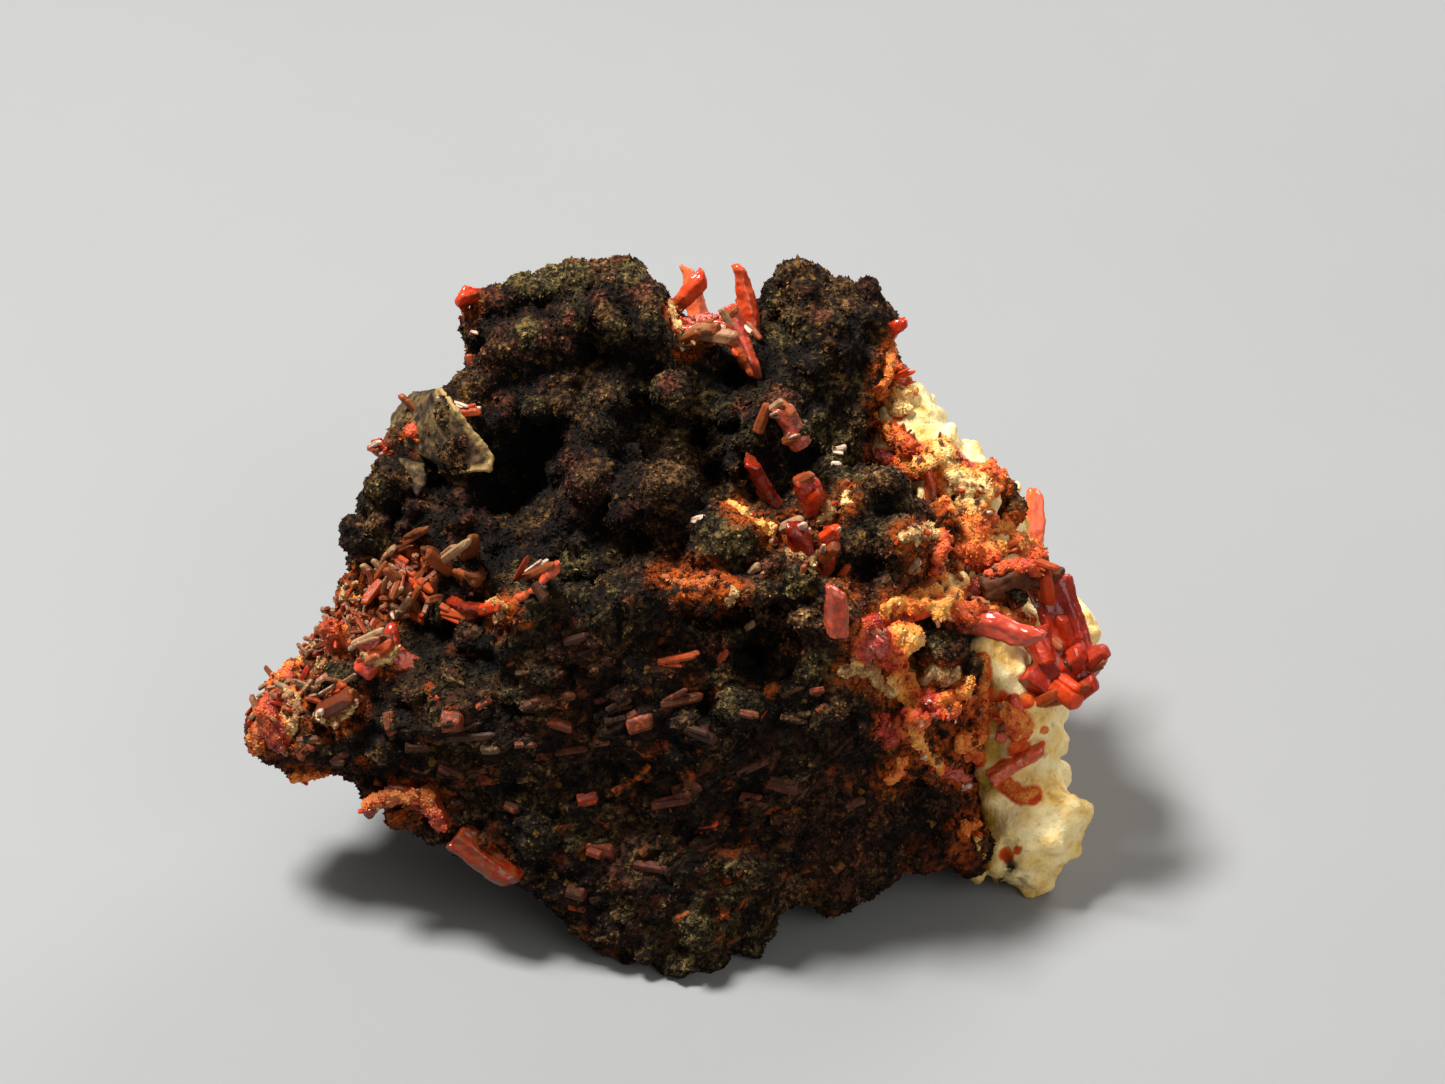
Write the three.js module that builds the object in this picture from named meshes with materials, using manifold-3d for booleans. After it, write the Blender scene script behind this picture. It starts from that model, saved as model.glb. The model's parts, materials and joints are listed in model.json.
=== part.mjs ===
// A crocoite cluster: a small loose mineral specimen, 45 mm across, as it rests on a table.
// It is a lump of black, porous gossan (manganese and iron oxides) that grades on its right side
// into pale, clay-like limonite. Orange-red crocoite prisms sit on both.
// Units are millimetres, +Z is up, and the specimen stands on the plane Z = 0.
//
// The specimen has a show side, which looks towards -Y, tipped back from upright. Places on it are
// given as (across, up, out): millimetres to the right, up the show side and out of it.

import * as THREE from "three";
import { ConvexGeometry } from "three/addons/geometries/ConvexGeometry.js";
import { ImprovedNoise } from "three/addons/math/ImprovedNoise.js";
import { mergeVertices } from "three/addons/utils/BufferGeometryUtils.js";
import Module from "manifold-3d";

const wasm = await Module();
wasm.setup();

// ---- driving dimensions ----

const SHOW_TILT = THREE.MathUtils.degToRad(36); // how far the show side is tipped back
const SHOW_CENTRE = new THREE.Vector3(0, 0, 15.2); // the middle of the show side
const FOOTPRINT_MIDDLE = new THREE.Vector3(-0.3, 3.2, 0); // goes to the origin in the end
const EYE = { across: 2.1, up: 3.7, out: 300 }; // the crystals are laid out along sight lines to here
const SKIN = 0.36; // how far out a rock's corners are moved to keep 0.3 between touching pieces
const CRYSTAL_ROOT = 0.7; // how far a prism runs back past its foot, into the rock that cuts it
const CRYSTAL_SEAT = 0.5; // how far the middle of its foot stands clear of the rock
const FACE_CRYSTAL_DEPTH = 0.9; // of the small crystals that lie flush in the broken lower face
const UNDERSIDE = -1.4; // the rocks' blocks reach down to here, and are cut level at Z = 0
const GROUND = { width: 100, depth: 20 }; // the slab below Z = 0 that cuts them
const GOSSAN_FACET = 1.6; // the size of the facets of each rock
const LIMONITE_FACET = 2.1;
const EDGE_WEAR = 0.3; // how round the broken edges are
const KNOB_BLEND = 0.45; // how far a knob's foot runs out into the rock that it grows from
const COARSE_RELIEF = { size: 5.5, height: 0.75 }; // waves in the rock's surface
const FINE_RELIEF = { size: 2.6, height: 0.5 };
const LUMPS = { size: 3.1, height: 0.75, crease: 0.3 }; // rounded lumps, packed side by side
const RELIEF_START = new THREE.Vector3(7, 3, 5); // which stretch of the noise makes the waves
const GOSSAN_ROUGHNESS = 1; // how much of that relief each rock has
const LIMONITE_ROUGHNESS = 0.6;
const WELD = 1e-4; // corners closer together than this are one corner

// ---- the show side's frame ----

const ACROSS = new THREE.Vector3(1, 0, 0);
const UP = new THREE.Vector3(0, Math.sin(SHOW_TILT), Math.cos(SHOW_TILT));
const OUT = new THREE.Vector3(0, -Math.cos(SHOW_TILT), Math.sin(SHOW_TILT));

function onShow([across, up, out]) {
  return new THREE.Vector3()
    .addScaledVector(ACROSS, across)
    .addScaledVector(UP, up)
    .addScaledVector(OUT, out)
    .add(SHOW_CENTRE);
}

// The point at a given height out of the show side that hides behind (across, up) from the eye.
function sighted([across, up], out) {
  const k = (EYE.out - out) / EYE.out;
  return onShow([EYE.across + (across - EYE.across) * k, EYE.up + (up - EYE.up) * k, out]);
}

// ---- solids ----

function solidFrom(geometry) {
  const bare = new THREE.BufferGeometry();
  bare.setAttribute("position", geometry.getAttribute("position"));
  bare.setIndex(geometry.index);
  const merged = mergeVertices(bare, WELD);
  return new wasm.Manifold(
    new wasm.Mesh({
      numProp: 3,
      vertProperties: new Float32Array(merged.attributes.position.array),
      triVerts: new Uint32Array(merged.index.array),
    }),
  );
}

function geometryFrom(solid) {
  const mesh = solid.getMesh();
  const geometry = new THREE.BufferGeometry();
  const points = new Float32Array(mesh.vertProperties);
  geometry.setAttribute("position", new THREE.BufferAttribute(points, mesh.numProp));
  geometry.setIndex(new THREE.BufferAttribute(new Uint32Array(mesh.triVerts), 1));
  const faceted = geometry.toNonIndexed();
  faceted.computeVertexNormals();
  return faceted;
}

const joined = (solids) => solids.reduce((whole, piece) => whole.add(piece));

// ---- rock forms ----
// A form is a function of a point: the depth below its surface as a negative number, the height
// above it as a positive one. Forms are put together first and faceted once, as one rock.

// The flat sides of a convex hull.
function sidesOf(corners) {
  const points = new ConvexGeometry(corners).getAttribute("position");
  const sides = new Map();
  const [a, b, c] = [new THREE.Vector3(), new THREE.Vector3(), new THREE.Vector3()];
  for (let i = 0; i < points.count; i += 3) {
    a.fromBufferAttribute(points, i);
    b.fromBufferAttribute(points, i + 1);
    c.fromBufferAttribute(points, i + 2);
    const normal = new THREE.Triangle(a, b, c).getNormal(new THREE.Vector3());
    const key = normal.toArray().map((n) => n.toFixed(2)).join();
    sides.set(key, { normal, distance: normal.dot(a) });
  }
  return [...sides.values()];
}

// A broken block: the convex hull of its corners, with worn edges.
function block(...corners) {
  const sides = sidesOf(corners);
  return (point) => {
    let sum = 0;
    for (const { normal, distance } of sides)
      sum += Math.exp((normal.dot(point) - distance) / EDGE_WEAR);
    return EDGE_WEAR * Math.log(sum);
  };
}

// A rounded knob or hollow, with radii across, up and out, turned about the show side's out axis.
function knob(place, radii, turn = 0) {
  const centre = onShow(place);
  const spin = new THREE.Quaternion().setFromAxisAngle(OUT, THREE.MathUtils.degToRad(turn));
  const [i, j] = [ACROSS, UP].map((axis) => axis.clone().applyQuaternion(spin));
  const [rx, ry, rz] = radii;
  const offset = new THREE.Vector3();
  return (point) => {
    offset.subVectors(point, centre);
    const [x, y, z] = [offset.dot(i) / rx, offset.dot(j) / ry, offset.dot(OUT) / rz];
    const near = Math.hypot(x, y, z);
    const steepness = Math.hypot(x / rx, y / ry, z / rz);
    return steepness < 1e-6 ? -Math.min(rx, ry, rz) : (near * (near - 1)) / steepness;
  };
}

const anyOf = (forms) => (point) =>
  forms.reduce((least, form) => Math.min(least, form(point)), Infinity);

// Two forms run together, with a fillet between them.
function blended(one, other) {
  return (point) => {
    const [a, b] = [one(point), other(point)];
    const share = Math.max(0, 1 - Math.abs(a - b) / KNOB_BLEND);
    return Math.min(a, b) - (share * share * KNOB_BLEND) / 4;
  };
}

const without = (form, hollows) => (point) => Math.max(form(point), -hollows(point));

const perlin = new ImprovedNoise();

function wave(point, { size, height }) {
  const place = point.clone().divideScalar(size).add(RELIEF_START);
  return 2 * height * perlin.noise(place.x, place.y, place.z);
}

// A repeatable scattered number between 0 and 1 for each cell of space.
function scatter(i, j, k, salt) {
  const s = Math.sin(i * 127.1 + j * 311.7 + k * 74.7 + salt * 53.3) * 43758.5453;
  return s - Math.floor(s);
}

// Packed rounded lumps: high at scattered points, low in the creases halfway between them.
function lump(point, { size, height, crease }) {
  const [x, y, z] = [point.x / size, point.y / size, point.z / size];
  const [ci, cj, ck] = [x, y, z].map(Math.floor);
  let nearest = 4;
  for (let i = ci - 1; i <= ci + 1; i++)
    for (let j = cj - 1; j <= cj + 1; j++)
      for (let k = ck - 1; k <= ck + 1; k++) {
        const dx = i + scatter(i, j, k, 1) - x;
        const dy = j + scatter(i, j, k, 2) - y;
        const dz = k + scatter(i, j, k, 3) - z;
        nearest = Math.min(nearest, dx * dx + dy * dy + dz * dz);
      }
  return height * (nearest - crease);
}

function roughened(form, amount) {
  return (point) =>
    form(point) +
    amount * (wave(point, COARSE_RELIEF) + wave(point, FINE_RELIEF) + lump(point, LUMPS));
}

// ---- faceting a form ----

// The lattice corners of one cell, as steps along X, Y and Z.
const CELL_CORNERS = [0, 1, 2, 3, 4, 5, 6, 7].map((n) => [n & 1, (n >> 1) & 1, n >> 2]);
const CELL_EDGES = [1, 2, 4].flatMap((step) =>
  [0, 1, 2, 3, 4, 5, 6, 7].filter((n) => !(n & step)).map((n) => [n, n + step]),
);

// Facets the surface of a form: one point in each lattice cell that the surface passes through,
// and one four-sided face round each lattice edge that it crosses.
function faceted(form, box, facet) {
  const counts = box.getSize(new THREE.Vector3()).divideScalar(facet).ceil().addScalar(1).toArray();
  const [nx, ny, nz] = counts;
  const strides = [1, nx, nx * ny];
  const at = (i, j, k) => i + j * nx + k * nx * ny;
  const cornerAt = (i, j, k) => new THREE.Vector3(i, j, k).multiplyScalar(facet).add(box.min);
  const depth = new Float64Array(nx * ny * nz);
  for (let k = 0; k < nz; k++)
    for (let j = 0; j < ny; j++)
      for (let i = 0; i < nx; i++) depth[at(i, j, k)] = form(cornerAt(i, j, k)) || 1e-6;
  untangle(depth, counts, strides);

  const points = [];
  const pointOfCell = new Map();
  for (let k = 0; k < nz - 1; k++)
    for (let j = 0; j < ny - 1; j++)
      for (let i = 0; i < nx - 1; i++) {
        const cell = at(i, j, k);
        const values = CELL_CORNERS.map(([x, y, z]) => depth[cell + at(x, y, z)]);
        const crossed = CELL_EDGES.filter(([a, b]) => values[a] < 0 !== values[b] < 0);
        if (crossed.length === 0) continue;
        const middle = new THREE.Vector3();
        for (const [a, b] of crossed) {
          const t = values[a] / (values[a] - values[b]);
          CELL_CORNERS[a].forEach((start, axis) => {
            const step = start + t * (CELL_CORNERS[b][axis] - start);
            middle.setComponent(axis, middle.getComponent(axis) + step / crossed.length);
          });
        }
        pointOfCell.set(cell, points.length / 3);
        points.push(...cornerAt(i + middle.x, j + middle.y, k + middle.z).toArray());
      }

  const triangles = [];
  for (const cell of pointOfCell.keys())
    for (const [axis, [side, other]] of [[0, [1, 2]], [1, [2, 0]], [2, [0, 1]]]) {
      const [u, v] = [strides[side], strides[other]];
      if (depth[cell] < 0 === depth[cell + strides[axis]] < 0) continue;
      const around = [cell - u - v, cell - v, cell, cell - u].map((n) => pointOfCell.get(n));
      const [a, b, c, d] = depth[cell] < 0 ? around : around.reverse();
      triangles.push(a, b, c, a, c, d);
    }
  const geometry = new THREE.BufferGeometry();
  geometry.setAttribute("position", new THREE.Float32BufferAttribute(points, 3));
  geometry.setIndex(triangles);
  geometry.computeVertexNormals();
  return geometry;
}

// The same facets, each corner moved out along its normal.
function thickened(geometry, by) {
  const skin = geometry.clone();
  const [points, normals] = [skin.getAttribute("position"), skin.getAttribute("normal")];
  const [point, normal] = [new THREE.Vector3(), new THREE.Vector3()];
  for (let i = 0; i < points.count; i++) {
    normal.fromBufferAttribute(normals, i);
    point.fromBufferAttribute(points, i).addScaledVector(normal, by);
    points.setXYZ(i, ...point.toArray());
  }
  return skin;
}

// Fills in lattice corners where the surface would otherwise touch itself at an edge or a point.
function untangle(depth, [nx, ny, nz], strides) {
  const FILLED = -1e-3;
  const inside = (n) => depth[n] < 0;
  let changed = true;
  const fill = (n) => {
    depth[n] = FILLED;
    changed = true;
  };
  while (changed) {
    changed = false;
    for (let n = 0; n < nx * ny * (nz - 1) - nx - 1; n++) {
      for (const [u, v] of [[0, 1], [1, 2], [0, 2]].map((pair) => pair.map((axis) => strides[axis]))) {
        if (inside(n) === inside(n + u) || inside(n) !== inside(n + u + v)) continue;
        if (inside(n + u) !== inside(n + v)) continue;
        fill(inside(n) ? n + u : n);
      }
      for (const corner of [0, 1, 2, 3]) {
        const [x, y, z] = CELL_CORNERS[corner];
        const steps = (i, j, k) => n + i * strides[0] + j * strides[1] + k * strides[2];
        const [near, far] = [steps(x, y, z), steps(1 - x, 1 - y, 1 - z)];
        if (inside(near) !== inside(far)) continue;
        const corners = CELL_CORNERS.map(([i, j, k]) => steps(i, j, k));
        const rest = corners.filter((m) => m !== near && m !== far);
        if (rest.some((m) => inside(m) === inside(near))) continue;
        fill(inside(near) ? rest[0] : near);
      }
    }
  }
}

// The largest of the separate bodies in a solid: crumbs that a cut leaves behind fall away.
function mainBody(solid) {
  return solid.decompose().reduce((most, body) => (body.volume() > most.volume() ? body : most));
}

// ---- the black gossan ----

const level = (x, y) => new THREE.Vector3(x, y, UNDERSIDE);

const gossanBlocks = [
  // the body behind the show side, with a level underside
  block(
    onShow([-14.5, -3, 3.6]),
    onShow([-8, 2, 5.4]),
    onShow([8, 2, 5.4]),
    onShow([12, -3, 3.4]),
    onShow([-9, 12.6, 0.6]),
    onShow([8, 11.4, 0.6]),
    level(-12, 3),
    level(12, 4),
    level(9, 14),
    level(-9, 12),
    new THREE.Vector3(-13, 11, 17),
    new THREE.Vector3(-7, 15, 22),
    new THREE.Vector3(8, 16, 21),
    new THREE.Vector3(12, 12, 12),
  ),
  // the lower front: one broken face that comes down to a point on the table
  block(
    new THREE.Vector3(0.6, -11.8, -1.4),
    new THREE.Vector3(-2.4, -10.4, -1),
    new THREE.Vector3(6, -9.8, -0.6),
    onShow([9.8, -17, -2]),
    onShow([10, -12.6, -0.4]),
    onShow([10.6, -3, 4.8]),
    onShow([7, 0.6, 7.6]),
    onShow([0, 1.2, 8.8]),
    onShow([-6, 1.4, 8]),
    onShow([-14.6, -2.4, 5]),
    onShow([-15.6, -10.6, -0.2]),
    onShow([-9.2, -15, 0.4]),
    onShow([-4, -17.6, 0.6]),
    onShow([-8, -6, -8]),
    onShow([6, -6, -9]),
  ),
  // the upper left mass
  block(
    onShow([-8.8, 18.4, -1.5]),
    onShow([-5, 19.2, -2]),
    onShow([-1.8, 18.8, -2]),
    onShow([-0.2, 15, 0]),
    onShow([-1.5, 12.6, 2.6]),
    onShow([-10, 11.6, 1.8]),
    onShow([-10.8, 14.6, -1]),
    onShow([-8, 16.2, 2.4]),
    onShow([-3, 16.8, 2.6]),
    onShow([-10, 15, -9]),
    onShow([-2, 15, -10]),
    onShow([-6, 6, -6]),
  ),
  // the saddle between the two upper masses
  block(
    onShow([-2, 15.4, -3]),
    onShow([5, 15.4, -4]),
    onShow([-2, 14, 0.6]),
    onShow([5, 13.8, 0.4]),
    onShow([-3, 8, 3.4]),
    onShow([6, 8, 3.4]),
    onShow([-2, 10, -10]),
    onShow([5, 10, -10]),
  ),
  // the upper right mass, with a flat front and an upright left side
  block(
    onShow([3.4, 18, -2.4]),
    onShow([6.2, 18.9, -3]),
    onShow([9.2, 17.6, -3]),
    onShow([11.6, 15.8, -3.6]),
    onShow([11.2, 11.5, -1.2]),
    onShow([9.6, 8, 0.8]),
    onShow([3.6, 12, 1.6]),
    onShow([5, 8, 2.8]),
    onShow([3.6, 15, -11]),
    onShow([10, 13, -12]),
    onShow([6, 4, -6]),
  ),
  // the left shoulder
  block(
    onShow([-10.6, 13.6, -2.6]),
    onShow([-12.8, 11.2, -2.4]),
    onShow([-16.6, 9.4, -3]),
    onShow([-17, 4, -3]),
    onShow([-17.4, 0, -1.5]),
    onShow([-13, -2, 4.7]),
    onShow([-12.5, 6, 2.2]),
    onShow([-9, 11, 1.6]),
    onShow([-12, 10, -10]),
    onShow([-14, 0, -10]),
    onShow([-6, 2, -4]),
  ),
  // the left wing, which stands clear of the table
  block(
    onShow([-24, -7.6, -2]),
    onShow([-21.2, -3.8, -3]),
    onShow([-17.6, 1, -2.5]),
    onShow([-13.4, 1, 4.2]),
    onShow([-13, -6, 4.6]),
    onShow([-15, -9.8, -0.4]),
    onShow([-21.4, -9.6, -1.5]),
    onShow([-20, -4.6, 1.2]),
    onShow([-15, 0, -8]),
    onShow([-16, -8, -6]),
    onShow([-9, -5, -3]),
  ),
  // the right flank, which carries the crust of crystals
  block(
    onShow([8, 7.4, 3.2]),
    onShow([14.4, 6.4, -2]),
    onShow([15.2, 1, 1.2]),
    onShow([15.6, -8, -1.4]),
    onShow([16, -14.8, -4.8]),
    onShow([8.6, -13.6, -0.8]),
    onShow([8, -1, 6.6]),
    onShow([12.5, 1.5, 3.4]),
    onShow([9, 0, -8]),
    onShow([13, -6, -9]),
  ),
  // the tan flake at the left edge, thin and sharp
  block(
    onShow([-12, 11.8, 2.4]),
    onShow([-15.6, 10, 0.7]),
    onShow([-9.8, 7.7, 5.4]),
    onShow([-14.2, 7.6, 2.4]),
    onShow([-12, 7.2, 5]),
    onShow([-11, 10, -1]),
    onShow([-15, 8, -3]),
  ),
];

const gossanKnobs = [
  // on the upper left mass
  knob([-8.1, 16.9, -0.4], [1.7, 1.4, 1.9]),
  knob([-5.9, 17.5, 0.2], [1.9, 1.5, 2.1]),
  knob([-3.5, 17.4, 0], [1.7, 1.5, 2.1]),
  knob([-6.9, 14.4, 2.5], [2, 1.6, 2]),
  knob([-9.4, 13, 1.6], [1.6, 1.4, 1.9]),
  knob([-4.5, 15.6, 3], [1, 1.2, 1.4]),
  knob([-2.5, 14.6, 3.4], [1.3, 2.3, 1.8], 25),
  knob([-1.3, 16.4, 1], [1.1, 1.6, 1.6], 20),
  // in the hollow between the two masses and the ledge
  knob([-0.4, 11.2, 4.2], [1.1, 1.8, 2.3]),
  knob([-0.9, 6.3, 4.8], [2, 1.9, 2.1]),
  knob([-4.9, 6.2, 4], [1.8, 1.9, 2]),
  knob([-3.2, 10.8, 3.4], [1.5, 1.6, 1.9]),
  knob([-6.6, 9.8, 2.8], [1.6, 1.3, 1.7]),
  knob([2, 4, 6.2], [2.3, 2.1, 2.3], 40),
  knob([5.1, 10.2, 3.4], [1.8, 1.7, 2.1]),
  knob([2.6, 8.2, 3.6], [1.6, 1.5, 1.8]),
  knob([-9.4, 4, 3.6], [1.6, 1.4, 1.7]),
  // on the ledge above the broken face
  knob([-3.6, 1.2, 7.6], [2.1, 1.3, 1.5]),
  knob([0.4, 0.8, 8.2], [2.3, 1.1, 1.3]),
  knob([4.4, 1.7, 7.4], [2, 1.7, 1.6]),
  knob([7.7, 0.2, 6.8], [1.7, 1.5, 1.5]),
  knob([-7.8, 0.7, 6.8], [1.6, 1.2, 1.4]),
  // on the upper right mass
  knob([5.9, 17.3, -1.8], [1.5, 1.1, 1.6]),
  knob([8.8, 15.8, -1.4], [1.7, 1.5, 1.6]),
  knob([7.2, 13.2, 0.2], [1.8, 1.6, 1.3]),
  knob([9.4, 12.2, -0.6], [1.4, 1.6, 1.3]),
  // on the right flank
  knob([9.9, 6, 3.4], [2.4, 1.6, 1.8], -10),
  knob([10.6, 3.4, 4.2], [2.2, 1.9, 1.5]),
  knob([14, -2, 2.2], [1.7, 2.3, 1.4]),
  knob([13.4, -11.6, -2.6], [2.3, 1.6, 1.7]),
  knob([16.8, 0.8, -0.6], [1.7, 1.8, 1.6]),
  knob([17, 5.4, -3.6], [1, 1.6, 1.2]),
  // on the left shoulder and the wing
  knob([-11.4, 14.6, -1.4], [1.2, 1.8, 1.7]),
  knob([-13.4, 10.8, -0.6], [1.5, 1.4, 1.8]),
  knob([-14.6, 6.8, 1.4], [1.4, 1.5, 1.5]),
  knob([-16, 4.6, -0.8], [1.4, 1.8, 1.7]),
  knob([-17, -2, -0.6], [1.5, 1.7, 1.7]),
  knob([-20.2, -6, -1.6], [1.5, 1.9, 1.6], -35),
  knob([-15.2, -9.2, 0.2], [1.3, 0.9, 1.4]),
];

// hollows: the deep one beside the knobs, and the holes under the overhangs
const gossanHollows = [
  knob([-8.6, 7, 4.6], [2.6, 2.4, 3]),
  knob([-6.6, 2.9, 6.6], [3, 1.2, 2]),
  knob([-2.6, 12.6, 4.6], [1.6, 1, 2.4]),
  knob([3.2, 12.2, 2.6], [1.4, 1.2, 2]),
  knob([1.8, 16.6, 0.8], [1.9, 2.2, 2]),
  knob([5.6, 7.2, 4.6], [1.5, 1, 2]),
  knob([0.8, 6.4, 6.6], [1.2, 1.1, 1.8]),
  knob([12.6, -0.8, 2.4], [0.9, 1.2, 1.6]),
];

const gossanForm = without(
  roughened(blended(anyOf(gossanBlocks), anyOf(gossanKnobs)), GOSSAN_ROUGHNESS),
  anyOf(gossanHollows),
);

// ---- the pale limonite ----

const limoniteBlocks = [
  block(
    onShow([12, 8.8, -4]),
    onShow([17.4, 7.2, -6]),
    onShow([19.4, 3, -8.5]),
    onShow([20.4, -3.5, -6]),
    onShow([19.4, -9, -5.6]),
    onShow([16.4, -14.8, -4.6]),
    onShow([15.6, -7, -0.2]),
    onShow([15.8, 0, 1]),
    onShow([13.4, 5.2, 0.6]),
    level(11, 12),
    level(18, 8),
    new THREE.Vector3(17, 12, 12),
    new THREE.Vector3(10, 14, 17),
  ),
  // the strip behind the upper right mass
  block(
    onShow([10.6, 15.4, -6]),
    onShow([12.2, 13.4, -6]),
    onShow([12.8, 9, -4]),
    onShow([10, 9, -2.2]),
    onShow([9, 14, -12]),
    onShow([12, 6, -12]),
    onShow([8, 5, -6]),
  ),
];

const limoniteKnobs = [
  knob([18.7, -11.2, -5], [3.1, 2.8, 3.2]),
  knob([17.8, -14, -5.6], [1.6, 1.5, 1.9]),
  knob([11.4, 11.1, -3.6], [1.5, 2.3, 2.1]),
  knob([12.8, 8.4, -2.4], [2.1, 1.4, 2]),
  knob([15.4, 6.2, -3.4], [2.4, 1.8, 2.1]),
  knob([18.2, -5.6, -3.2], [2, 1.8, 2]),
  knob([16, -3.4, -1], [1.2, 2.6, 1.6]),
  knob([20.8, -1, -5.4], [1.5, 2.2, 1.9]),
  knob([19.6, -6.6, -5], [1.3, 1.6, 1.6]),
];

const limoniteForm = roughened(
  blended(anyOf(limoniteBlocks), anyOf(limoniteKnobs)),
  LIMONITE_ROUGHNESS,
);

// ---- the rocks' faceted solids ----

const ground = solidFrom(
  new THREE.BoxGeometry(GROUND.width, GROUND.width, GROUND.depth).translate(0, 0, -GROUND.depth / 2),
);
const gossanRoom = new THREE.Box3(new THREE.Vector3(-26, -16, -3), new THREE.Vector3(22, 21, 34));
const limoniteRoom = new THREE.Box3(new THREE.Vector3(4, -12, -3), new THREE.Vector3(26, 20, 28));

const gossanFacets = faceted(gossanForm, gossanRoom, GOSSAN_FACET);
const limoniteFacets = faceted(limoniteForm, limoniteRoom, LIMONITE_FACET);
const gossanSkin = solidFrom(thickened(gossanFacets, SKIN));
const limoniteSkin = solidFrom(thickened(limoniteFacets, SKIN));
const rockSkin = gossanSkin.add(limoniteSkin); // nothing else comes closer to the rocks than this
const bareGossan = solidFrom(gossanFacets);
const limonite = solidFrom(limoniteFacets).subtract(gossanSkin).subtract(ground);
const rocks = [new THREE.Mesh(geometryFrom(bareGossan)), new THREE.Mesh(geometryFrom(limonite))];

// ---- crystals ----

// How far out of the show side the rock's surface stands behind (across, up), seen from the eye.
function surfaceOut(place) {
  const eye = onShow([EYE.across, EYE.up, EYE.out]);
  const sight = new THREE.Raycaster(eye, sighted(place, 0).sub(eye).normalize());
  const [hit] = sight.intersectObjects(rocks);
  return hit ? hit.point.clone().sub(SHOW_CENTRE).dot(OUT) : -Infinity;
}

// A six-sided, flattened prism along +Z, a little tapered, with a slanting two-sided end. The
// outline is in half widths and half depths, the other numbers are in widths.
const PRISM_OUTLINE = [[1, 0.3], [0.35, 1], [-0.8, 0.75], [-1, -0.3], [-0.35, -1], [0.8, -0.75]];
const PRISM_END = { drop: 0.275, slant: 0.19, lean: 0.14, ridge: 0.2, ridgeDrop: 0.11 };
const PRISM_TAPER = 0.88;

function prismCorners(length, width, depth) {
  const { drop, slant, lean, ridge, ridgeDrop } = PRISM_END;
  const corners = [];
  for (const [i, j] of PRISM_OUTLINE) {
    const [x, y] = [(i * width) / 2, (j * depth) / 2];
    const end = length - width * (drop + slant * i - lean * j);
    corners.push(new THREE.Vector3(x, y, -CRYSTAL_ROOT));
    corners.push(new THREE.Vector3(x * PRISM_TAPER, y * PRISM_TAPER, end));
  }
  corners.push(new THREE.Vector3(-width * ridge, -depth * ridge, length));
  corners.push(new THREE.Vector3(-width * ridge, depth * ridge, length - width * ridgeDrop));
  return corners;
}

// How far out the tip of a crystal is that lies on the rock from its foot, over what is between.
function lyingOut(foot, tip, footOut, depth) {
  const middle = foot.map((start, i) => (start + tip[i]) / 2);
  const overMiddle = 2 * (surfaceOut(middle) + depth / 3) - footOut;
  return Math.max(footOut, surfaceOut(tip) + depth / 2, overMiddle);
}

// A crystal from its foot to its tip, both as seen from the eye, turned about its own axis by spin.
// It lies on the rock, with its tip raised clear of it by rise. Where out is given, the foot is
// that far out of the show side instead, and rise is how much farther out the tip is.
function prism({ foot, tip, rise = 0, width, depth = width * 0.75, spin = 0, out }) {
  const footOut = out ?? surfaceOut(foot) + CRYSTAL_SEAT;
  const tipOut = out ?? lyingOut(foot, tip, footOut, depth);
  const start = sighted(foot, footOut);
  const axis = sighted(tip, tipOut + rise).sub(start);
  const geometry = new ConvexGeometry(prismCorners(axis.length(), width, depth));
  const facing = new THREE.Matrix4().makeBasis(
    axis.clone().cross(OUT).normalize(),
    axis.clone().cross(OUT).cross(axis).normalize().negate(),
    axis.clone().normalize(),
  );
  geometry.rotateZ(THREE.MathUtils.degToRad(spin));
  geometry.applyMatrix4(facing);
  geometry.translate(...start.toArray());
  return solidFrom(geometry);
}

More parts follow.
